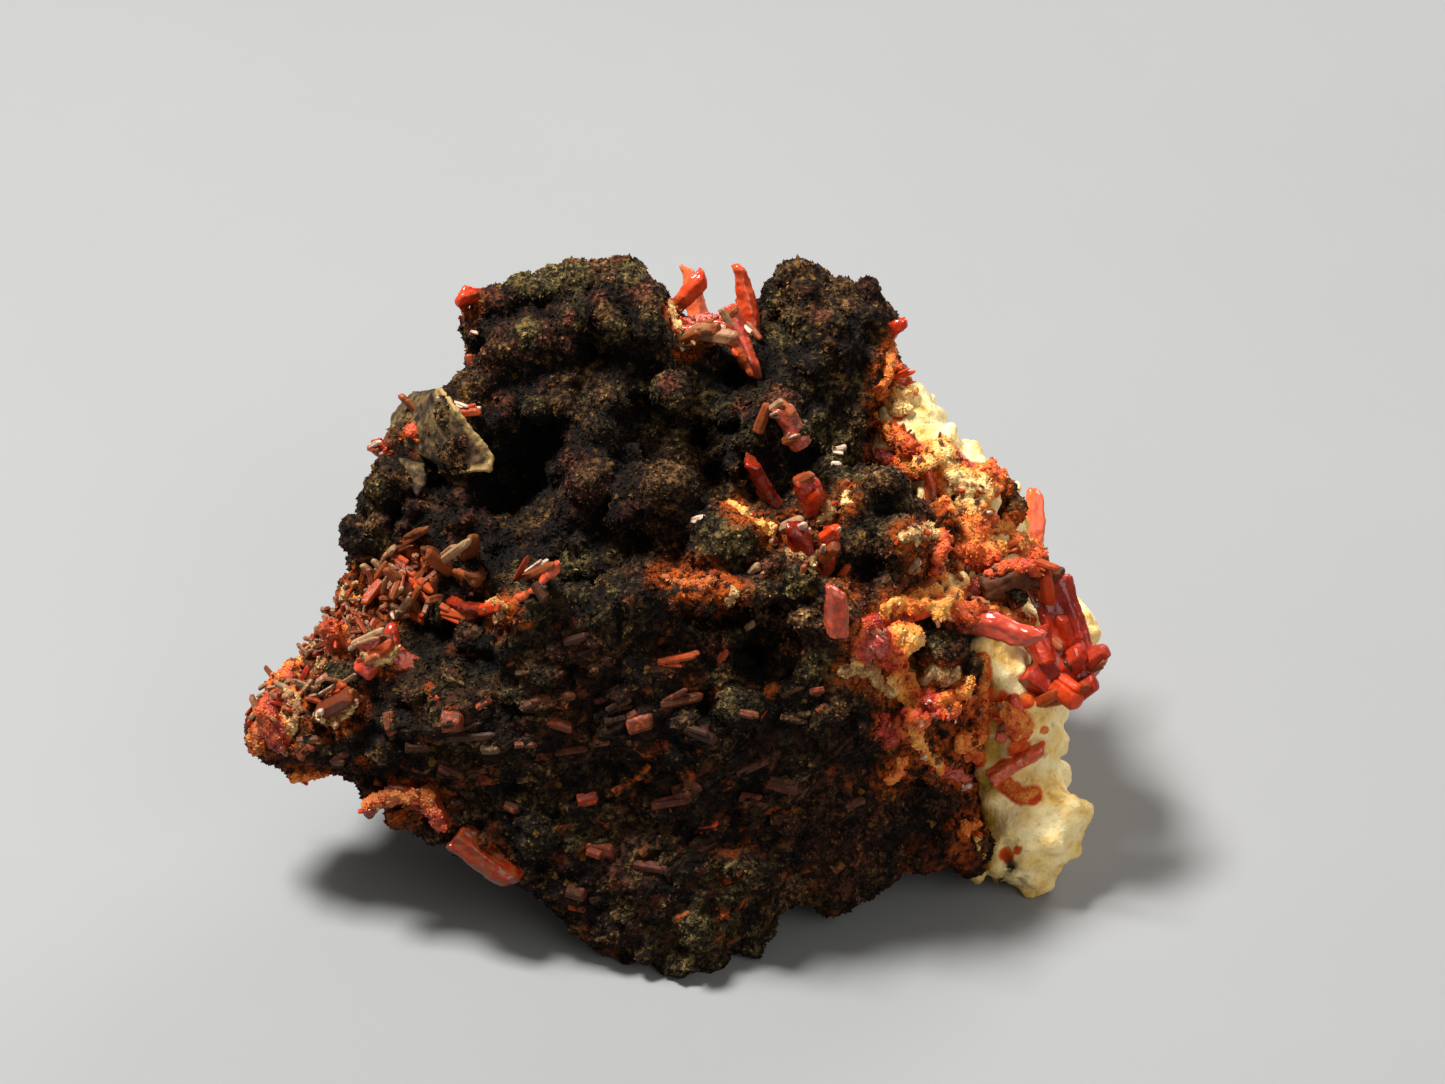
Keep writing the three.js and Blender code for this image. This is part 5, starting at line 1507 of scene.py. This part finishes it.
def crystal_body(node, rock):
    bm = cad_bmesh(node)
    axis = long_axis(bm)
    for vertex in bm.verts:
        nearest, _, _, distance = rock.find_nearest(vertex.co)
        if distance < FOOT_REACH:
            vertex.co += (nearest - vertex.co).normalized() * CRYSTAL_ROOT
    obj = remeshed(object_from(bm, node + "_crystal"), CRYSTAL_VOXEL, smoothing=2)
    points = points_of(obj)
    own = points @ np.array(axis.to_track_quat("Z", "X").to_matrix())
    raised(obj, relief(own * GROOVE_STRETCH, GROOVES) + relief(points, CRYSTAL_WAVES))
    paint_grain(obj, own)
    distances = np.array([rock.find_nearest(Vector(p))[3] for p in points])
    paint(obj, "foot", np.maximum(1 - smoothstep(*DUST_REACH, distances), DUSTY.get(node, 0)))
    chance_tint = rng.uniform(*TINT_RANGE)
    paint(obj, "tint", np.full(len(points), FIXED_TINTS.get(node, chance_tint)))
    return obj


def crystal_bodies(rock):
    """Every crystal's node, with its body and its material slot."""
    return {
        part["node"]: (crystal_body(part["node"], rock), part["material_slot"])
        for part in frame["record"]["subparts"]
        if part["material_slot"] in CROCOITE
    }


# ---- small crystals ----

# Their tints; the palest stands for glints, as a painted highlight
DARK, BROWN, RUBY, ROSY, PALE, AMBER, BRIGHT, GLINT_WHITE = 0.08, 0.2, 0.3, 0.4, 0.55, 0.7, 0.85, 1.0
PRISM_ROUNDING = 0.06

# Prisms cut across by the broken face, and loose ones on the rest, as (place of the foot, place of
# the tip, how far the tip rises, width, tint)
FACE_PRISMS = [
    ((-15.4, -5.3), (-15.2, -6.4), 0.1, 0.68, AMBER), ((-12.6, -5.6), (-11.6, -5.6), 0.1, 1.26, AMBER),
    ((-10.3, -7.2), (-9.5, -7.2), 0.2, 0.78, PALE), ((-8.6, -6.9), (-7.6, -6.9), 0.1, 0.52, ROSY),
    ((-7.2, -4.5), (-5.5, -4.2), 0.2, 0.63, ROSY), ((-6.8, -5.6), (-5.7, -6.0), 0.2, 0.73, AMBER),
    ((-2.7, -5.8), (-1.5, -5.5), 0.1, 1.05, AMBER), ((-0.7, -4.7), (1.2, -4.3), 0.3, 0.63, ROSY),
    ((-5.3, -9.8), (-4.4, -9.6), 0.1, 0.84, BRIGHT), ((-4.8, -12.4), (-3.5, -12.7), 0.1, 1.05, AMBER),
    ((-0.2, -9.2), (1.0, -8.9), 0.1, 0.94, BROWN), ((0.5, -6.2), (1.9, -6.8), 0.2, 0.73, DARK),
    ((1.0, -11.3), (1.9, -11.1), 0.1, 0.78, BRIGHT), ((3.2, -5.2), (4.1, -5.4), 0.2, 0.52, ROSY),
    ((-9.2, -10.1), (-8.5, -10.3), 0.1, 0.58, BROWN), ((-12.6, -8.1), (-11.7, -8.5), 0.1, 0.58, BROWN),
    ((-5.9, -14.6), (-5.0, -14.9), 0.0, 0.89, BROWN), ((-2.2, -13.2), (-0.6, -13.5), 0.1, 0.68, BROWN),
    ((-0.4, -2.5), (1.0, -2.1), 0.3, 0.52, AMBER), ((4.7, -8.9), (6.1, -9.3), 0.1, 0.73, BROWN),
    ((-6.0, -1.5), (-4.9, -1.2), 0.1, 0.52, BROWN), ((3.2, -9.7), (4.6, -10.1), 0.1, 0.68, BROWN),
    ((-11.0, -8.3), (-10.2, -8.2), 0.1, 0.58, BROWN), ((-4.6, -6.9), (-3.7, -6.8), 0.1, 0.42, ROSY),
    ((-12.2, -6.6), (-9.6, -6.5), 0.1, 0.52, DARK), ((-13.0, -4.1), (-12.7, -4.6), 0.1, 0.42, BRIGHT),
    ((-10.6, -4.9), (-10.0, -4.5), 0.2, 0.58, AMBER), ((-6.4, -7.3), (-4.9, -7.1), 0.1, 0.47, BROWN),
    ((-1.2, -10.1), (0.9, -9.7), 0.1, 0.58, BROWN), ((8.7, -10.1), (9.6, -9.8), 0.1, 0.63, BROWN),
    ((6.8, -4.1), (7.5, -4.0), 0.2, 0.52, AMBER), ((-20.0, -6.6), (-19.0, -6.5), 0.1, 0.47, ROSY),
    ((-18.2, -7.7), (-17.5, -7.3), 0.1, 0.63, BROWN), ((-7.5, -4.6), (-8.5, -4.9), 0.1, 0.47, BROWN),
    ((3.1, -8.3), (4.6, -7.7), 0.1, 0.58, BROWN), ((-4.3, -4.6), (-2.8, -4.1), 0.1, 0.47, BROWN),
]

LOOSE_PRISMS = [
    # the left spray
    ((-15.0, 3.3), (-13.2, 4.4), 0.8, 0.37, BROWN), ((-12.3, 2.1), (-13.5, 3.2), 1.0, 0.73, ROSY),
    ((-12.6, 2.6), (-11.1, 3.7), 1.2, 0.58, PALE), ((-11.9, 2.1), (-10.6, 1.4), 0.9, 0.68, ROSY),
    ((-14.9, 2.7), (-13.9, 1.8), 0.6, 0.63, AMBER), ((-14.1, 2.0), (-12.9, 1.0), 0.6, 0.63, AMBER),
    ((-15.7, 2.6), (-15.1, 3.5), 0.6, 0.47, PALE), ((-16.1, 1.8), (-15.5, 2.7), 0.6, 0.47, ROSY),
    ((-16.3, 2.1), (-16.9, 2.6), 0.4, 0.42, PALE), ((-15.2, 1.4), (-14.5, 2.2), 0.9, 0.52, PALE),
    ((-15.5, 0.5), (-14.7, 1.3), 0.9, 0.52, PALE), ((-14.9, -0.1), (-14.3, 0.8), 0.8, 0.47, PALE),
    ((-15.1, 1.7), (-15.6, 2.3), 0.7, 0.47, ROSY), ((-14.3, 0.5), (-13.7, 1.4), 0.8, 0.47, ROSY),
    ((-15.4, 0.4), (-15.1, -0.3), 0.7, 0.37, GLINT_WHITE), ((-14.2, 0.0), (-13.5, -0.4), 0.6, 0.58, AMBER),
    ((-14.7, 1.9), (-15.2, 0.7), 0.9, 0.42, ROSY), ((-13.5, 0.8), (-12.1, 0.0), 0.7, 0.68, AMBER),
    ((-12.4, 0.1), (-10.7, -0.3), 0.4, 0.63, AMBER), ((-10.4, 0.2), (-9.2, 0.5), 0.5, 0.63, BRIGHT),
    ((-16.0, 1.5), (-16.8, 0.4), 0.6, 0.52, AMBER), ((-16.3, 0.9), (-17.1, 0.2), 0.5, 0.47, BROWN),
    ((-17.4, 0.5), (-18.0, 0.8), 0.4, 0.47, PALE), ((-17.3, 0.0), (-16.5, 0.6), 0.5, 0.42, PALE),
    ((-17.7, -0.5), (-16.8, 0.0), 0.5, 0.42, ROSY), ((-15.6, 2.1), (-16.3, 2.9), 0.5, 0.42, PALE),
    ((-18.5, -1.7), (-18.0, -0.5), 0.6, 0.94, BRIGHT), ((-17.7, -1.8), (-18.1, -0.9), 0.5, 0.63, AMBER),
    ((-17.2, -2.1), (-15.4, -1.0), 0.5, 0.94, BROWN), ((-17.0, -1.5), (-15.6, -0.8), 0.9, 0.42, PALE),
    ((-16.4, -2.4), (-15.1, -1.5), 0.5, 0.78, AMBER), ((-17.4, -1.9), (-17.0, -1.5), 0.6, 0.37, GLINT_WHITE),
    ((-18.8, -4.9), (-17.4, -4.2), 0.5, 1.15, BROWN), ((-18.5, -4.1), (-17.7, -3.7), 0.6, 0.58, AMBER),
    ((-19.2, -5.3), (-18.9, -5.1), 0.7, 0.42, GLINT_WHITE), ((-20.0, -7.5), (-19.4, -7.0), 0.2, 0.68, BROWN),
    ((-18.2, -5.4), (-17.4, -5.0), 0.5, 0.47, PALE), ((-8.5, 1.7), (-6.6, 2.6), 1.0, 0.68, ROSY),
    ((-8.1, 2.1), (-6.9, 2.8), 1.3, 0.31, GLINT_WHITE), ((-7.7, 1.4), (-7.2, 0.6), 0.3, 0.68, DARK),
    # the left shoulder
    ((-16.5, 9.1), (-15.9, 8.4), 0.5, 0.47, ROSY), ((-16.1, 9.4), (-15.3, 8.8), 0.5, 0.52, BROWN),
    ((-16.3, 8.7), (-15.8, 9.0), 0.7, 0.26, GLINT_WHITE), ((-13.1, 10.5), (-12.7, 9.8), 0.3, 0.52, PALE),
    ((-11.6, 10.5), (-10.5, 10.6), 0.6, 0.52, AMBER), ((-11.1, 10.6), (-10.5, 10.7), 0.9, 0.26, GLINT_WHITE),
    ((-11.8, 11.0), (-11.2, 10.8), 0.8, 0.26, GLINT_WHITE), ((-13.2, 11.4), (-12.8, 11.3), 0.6, 0.21, GLINT_WHITE),
    ((-14.5, 11.0), (-14.9, 11.5), 0.4, 0.47, ROSY),
    ((-11.0, 14.7), (-10.7, 14.6), 0.5, 0.21, GLINT_WHITE), ((-11.9, 14.0), (-11.3, 13.6), 0.3, 0.47, AMBER),
    # the valley
    ((0.0, 14.2), (1.0, 14.7), 0.9, 0.73, ROSY), ((0.8, 14.4), (2.0, 14.9), 1.2, 0.78, ROSY),
    ((1.7, 14.7), (2.9, 14.0), 1.1, 0.78, AMBER), ((2.6, 14.3), (3.2, 13.1), 0.9, 0.63, AMBER),
    ((3.1, 13.4), (3.6, 12.3), 0.5, 0.42, AMBER), ((0.6, 14.0), (1.7, 14.1), 1.3, 0.47, ROSY),
    ((0.4, 14.3), (0.7, 14.0), 1.8, 0.21, PALE), ((-0.2, 14.0), (0.1, 13.7), 0.6, 0.37, GLINT_WHITE),
    ((2.5, 15.2), (2.0, 16.0), 0.5, 0.47, PALE), ((2.2, 15.4), (2.9, 16.0), 0.5, 0.47, ROSY),
    ((3.5, 15.0), (4.1, 14.2), 0.5, 0.47, ROSY), ((3.3, 15.0), (3.6, 14.6), 0.9, 0.21, GLINT_WHITE),
    ((-0.8, 15.2), (-1.0, 16.1), 0.4, 0.42, AMBER),
    ((0.1, 14.1), (1.5, 14.9), 1.0, 0.94, 0.46), ((1.0, 14.6), (3.0, 14.2), 1.2, 0.99, 0.48),
    ((2.0, 14.7), (3.4, 13.2), 0.8, 0.68, AMBER),
    # round the red blocks
    ((4.1, 9.8), (4.6, 11.1), 0.6, 0.73, ROSY), ((5.2, 11.0), (5.9, 10.4), 0.9, 0.63, ROSY),
    ((5.4, 9.0), (6.1, 9.2), 0.8, 0.47, ROSY), ((5.5, 9.1), (6.0, 9.3), 1.1, 0.21, GLINT_WHITE),
    ((4.6, 10.3), (5.0, 10.5), 1.3, 0.21, GLINT_WHITE), ((4.7, 10.8), (5.2, 11.2), 1.0, 0.42, PALE),
    ((5.3, 4.4), (6.4, 4.9), 0.9, 0.84, PALE), ((6.2, 4.5), (6.5, 4.7), 1.4, 0.42, GLINT_WHITE),
    ((7.4, 4.0), (8.1, 4.5), 0.8, 0.63, BRIGHT), ((8.1, 4.2), (8.3, 4.5), 1.1, 0.26, GLINT_WHITE),
    ((7.3, 2.9), (8.0, 3.6), 0.8, 0.73, ROSY), ((7.2, 3.1), (7.4, 3.6), 1.1, 0.26, GLINT_WHITE),
    ((6.6, 5.9), (7.2, 6.3), 0.9, 0.52, BRIGHT), ((6.1, 7.0), (6.9, 7.4), 0.8, 0.52, ROSY),
    ((8.4, 6.7), (8.7, 7.0), 0.4, 0.42, ROSY), ((6.3, 2.1), (6.4, 2.6), 0.4, 0.37, ROSY),
    ((3.5, 2.1), (4.0, 2.6), 0.7, 0.42, PALE), ((8.3, 2.0), (8.7, 2.6), 0.5, 0.47, AMBER),
    ((8.0, 8.5), (8.6, 8.6), 0.5, 0.42, GLINT_WHITE), ((7.9, 7.8), (8.3, 7.8), 0.4, 0.37, GLINT_WHITE),
    ((0.6, 4.9), (1.1, 5.0), 0.5, 0.42, GLINT_WHITE), ((3.4, -0.8), (3.8, -0.5), 0.4, 0.42, PALE),
    ((-0.9, -2.5), (0.8, -2.2), 0.4, 0.47, AMBER), ((2.0, -2.5), (2.4, -1.9), 0.3, 0.42, AMBER),
    # the right edge cluster
    ((20.1, -2.7), (21.2, -1.9), 0.8, 1.26, RUBY), ((21.3, -2.5), (22.3, -1.9), 0.5, 1.15, RUBY),
    ((19.6, -3.9), (20.7, -4.8), 0.8, 1.26, BRIGHT), ((21.2, -4.2), (21.9, -3.5), 0.5, 1.05, RUBY),
    ((18.8, -1.9), (19.2, -2.9), 0.8, 0.94, RUBY), ((20.3, -1.5), (19.8, 0.0), 0.6, 0.94, RUBY),
    ((19.2, 0.6), (19.0, 2.2), 0.5, 0.84, 0.78), ((18.7, -4.6), (19.8, -4.1), 0.7, 0.73, AMBER),
    ((21.5, -2.9), (22.2, -2.5), 0.8, 0.47, ROSY), ((19.5, -1.5), (19.9, -2.0), 0.9, 0.52, ROSY),
    ((20.5, -3.1), (20.2, -2.5), 0.9, 0.58, DARK),
    # the right flank
    ((12.0, 2.2), (12.4, 2.7), 0.7, 0.58, PALE), ((12.3, 2.4), (12.5, 2.6), 1.1, 0.21, GLINT_WHITE),
    ((15.7, 5.0), (16.2, 5.3), 0.8, 0.42, PALE), ((15.8, 5.2), (16.1, 5.3), 1.0, 0.21, GLINT_WHITE),
    ((14.2, 7.9), (14.5, 8.4), 0.7, 0.37, ROSY), ((15.8, 7.2), (16.6, 7.4), 0.7, 0.42, AMBER),
    ((12.4, 1.3), (13.3, 1.8), 0.6, 0.37, ROSY),
    ((9.4, -1.2), (9.8, -0.8), 0.8, 0.31, GLINT_WHITE), ((9.9, -1.6), (10.4, -1.5), 0.9, 0.26, GLINT_WHITE),
    ((9.6, -2.0), (10.3, -1.6), 0.7, 0.63, ROSY), ((10.5, -2.1), (11.0, -2.5), 0.7, 0.58, AMBER),
    ((12.6, -5.0), (13.1, -4.5), 0.9, 0.68, ROSY), ((12.7, -4.8), (13.0, -4.6), 1.3, 0.21, GLINT_WHITE),
    ((13.7, -5.2), (14.2, -4.5), 0.8, 0.58, BRIGHT), ((12.7, -3.5), (13.3, -2.9), 0.6, 0.52, PALE),
    ((13.7, -3.7), (14.6, -2.8), 0.7, 0.52, PALE), ((10.7, -6.4), (11.3, -5.5), 0.7, 0.63, AMBER),
    ((12.5, -7.6), (12.8, -7.5), 0.6, 0.26, GLINT_WHITE), ((14.6, -9.2), (15.2, -9.0), 0.7, 0.37, GLINT_WHITE),
    ((15.1, -7.6), (15.5, -7.1), 0.5, 0.42, AMBER), ((14.9, -4.1), (15.5, -3.7), 0.6, 0.52, BRIGHT),
    ((16.8, 3.3), (17.7, 3.8), 0.6, 0.58, AMBER), ((18.7, 2.6), (19.8, 2.2), 0.6, 0.52, AMBER),
    ((11.6, -7.0), (12.3, -6.7), 0.4, 0.37, BROWN), ((11.1, 12.3), (12.3, 12.6), 0.6, 0.26, BRIGHT),
]

# The left wing, with its litter of broken crystals, as (place, radius)
WING = [
    ((-14.8, 1.4), 1.8), ((-17.2, -0.2), 1.6), ((-19.0, -1.5), 1.2), ((-20.8, -4.6), 1.6),
    ((-18.5, -4.6), 1.2),
]
WING_TINTS = (BROWN, ROSY, PALE, AMBER, 0.3, 0.5, 0.6)
CHIP_TINTS = (0.45, AMBER, BRIGHT, 0.62)

# Groups of small prisms, as (name, rows, dust)
PRISM_GROUPS = [("face_prisms", FACE_PRISMS, 0.8), ("loose_prisms", LOOSE_PRISMS, 0.15)]


def small_prisms(name, tree, rows, dust):
    """The prisms in some rows, each with a smaller one beside it."""
    feet, directions, sizes, tints = [], [], [], []
    for start, end, rise, width, tint in rows:
        foot, normal = seat(tree, start)
        tip, _ = seat(tree, end)
        direction = sighted(end, max(out_of(foot), out_of(tip)) + rise * 0.7) - foot
        feet.append(foot - normal * width * 0.2)
        directions.append(direction)
        sizes.append((width, width * rng.uniform(0.75, 1), direction.length))
        tints.append(tint)
        side = direction.cross(Vector(rng.normal(size=3))).normalized()
        feet.append(feet[-1] + side * width * 0.4)
        directions.append(direction + side * direction.length * rng.uniform(0, 0.35))
        sizes.append((width * 0.6, width * 0.5, direction.length * rng.uniform(0.4, 0.85)))
        tints.append(tint + rng.uniform(-0.06, 0.06))
    turns = turns_along(np.array(directions))
    paints = {"tint": np.array(tints), "dust": np.full(len(tints), dust)}
    return copies(name, prism(PRISM_ROUNDING), np.array(feet), turns, np.array(sizes), **paints)


def scattered(name, obj, count, chance, length, width, lying, tints):
    """Tiny prisms all over a surface: lying is 0 for standing ones and 1 for flat ones."""
    feet, normals, _ = sampled(obj, count, chance)
    wander = flattened(rng.normal(size=feet.shape), normals)
    wander /= np.linalg.norm(wander, axis=1)[:, None]
    feet[:, 2] = np.maximum(feet[:, 2], length)
    widths = width * rng.uniform(0.6, 1.3, len(feet))
    thicknesses = widths * rng.uniform(0.7, 1, len(feet))
    lengths = length * rng.uniform(0.5, 1.3, len(feet))
    turns = turns_along(wander * lying + normals * (1.05 - lying))
    paints = {"tint": rng.choice(tints, len(feet)), "dust": np.full(len(feet), 0.5)}
    return copies(name, prism(), feet, turns, np.stack([widths, thicknesses, lengths], axis=1), **paints)


def wing_chance(points, normals):
    return within(WING, place_of(points)) * (outward(normals) > -0.3)


def chip_chance(points, normals):
    """Chips are fewer on the sides of the crust and missing from its back."""
    return 0.4 * smoothstep(-0.5, 0.3, outward(normals))


# ---- stage ----

LIGHTS = [
    # (name, place, size, power): metres and watts
    ("key", (-0.12, 0.03, 0.33), 0.08, 2.5),
    ("fill", (0.24, -0.26, 0.24), 0.30, 0.5),
    ("rim", (0.16, 0.24, 0.16), 0.14, 0.5),
]
LIGHT_TARGET = Vector((0, 0, 0.012))
FLOOR_SIZE = 2
SKY_COLOUR = (1, 0.99, 0.97, 1)
SKY_STRENGTH = 0.17


def floor():
    bm = bmesh.new()
    bmesh.ops.create_grid(bm, x_segments=1, y_segments=1, size=FLOOR_SIZE)
    obj = object_from(bm, "floor")
    s = Shader("floor")
    s.set(Base_Color=s.mix(s.noise(40), "#888887", "#8d8d8c"), Roughness=0.8)
    obj.data.materials.append(s.material)


def lamp(name, place, size, power):
    light = bpy.data.lights.new(name, "AREA")
    light.size = size
    light.energy = power
    obj = linked(name, light)
    obj.location = place
    obj.rotation_euler = (LIGHT_TARGET - obj.location).to_track_quat("-Z", "Y").to_euler()


def sky():
    world = bpy.data.worlds.new("studio")
    world.use_nodes = True
    background = world.node_tree.nodes["Background"]
    background.inputs["Color"].default_value = SKY_COLOUR
    background.inputs["Strength"].default_value = SKY_STRENGTH
    bpy.context.scene.world = world
    bpy.context.scene.view_settings.view_transform = "Standard"


def camera():
    data = bpy.data.cameras.new("camera")
    data.lens = data.sensor_width * EYE_OUT / FRAME_WIDTH
    data.clip_start = 0.01
    obj = linked("camera", data)
    obj.location = EYE * MM
    obj.rotation_euler = (math.pi / 2 - SHOW_TILT, 0, 0)
    bpy.context.scene.camera = obj


# ---- assembly ----

cad_rock = surface(cad_bmesh("black_gossan", "pale_limonite"))
gossan = gossan_body(cad_rock)
limonite = limonite_body(cad_rock)
crystals = crystal_bodies(cad_rock)
whole = surface(bmesh_of(gossan, limonite, *(body for body, _ in crystals.values())))

looks = {slot: crocoite_material(slot, *look) for slot, look in CROCOITE.items()}
for node, (body, slot) in crystals.items():
    finished(body, looks[slot], slot, node)

spots = crust_spots(whole)
crust = crust_body(spots)
crust_points = [point for point, *_ in spots]
dye(gossan, crust_points, *GOSSAN_STAIN, "rust")
dye(limonite, crust_points, *LIMONITE_STAIN, "stain")

chip_look = chip_material()
crust_look = crust_material()
gossan_look = gossan_material()

for name, rows, dust in PRISM_GROUPS:
    finished(small_prisms(name, whole, rows, dust), chip_look, "crocoite_brown", smooth=False)
finished(flake(cad_rock), flake_material(), "limonite")
spray = scattered(
    "spray_chips", gossan, 22000, wing_chance, length=0.85, width=0.34, lying=0.6, tints=WING_TINTS
)
finished(spray, chip_look, "crocoite_brown", smooth=False)
finished(crust_bits(crust), crust_look, "limonite", smooth=False)
chips = scattered(
    "crust_chips", crust, 1500, chip_chance, length=0.36, width=0.24, lying=0.5, tints=CHIP_TINTS
)
finished(chips, chip_look, "crocoite_orange", smooth=False)
finished(face_sticks(gossan), gossan_look, "gossan", smooth=False)
for name, count, least, most, chance in CRUMBS:
    body = crumbs(name, gossan, count, least, most, chance)
    finished(body, gossan_look, "gossan", smooth=False)

front = cut_off(gossan, "gossan_front", -OUT)
back = cut_off(gossan, "gossan_back", OUT)
bpy.data.objects.remove(gossan)
finished(front, gossan_look, "gossan", "black_gossan")
finished(back, gossan_look, "gossan", "black_gossan")
finished(limonite, limonite_material(), "limonite", "pale_limonite")
finished(crust, crust_look, "limonite")

floor()
for light in LIGHTS:
    lamp(*light)
sky()
camera()
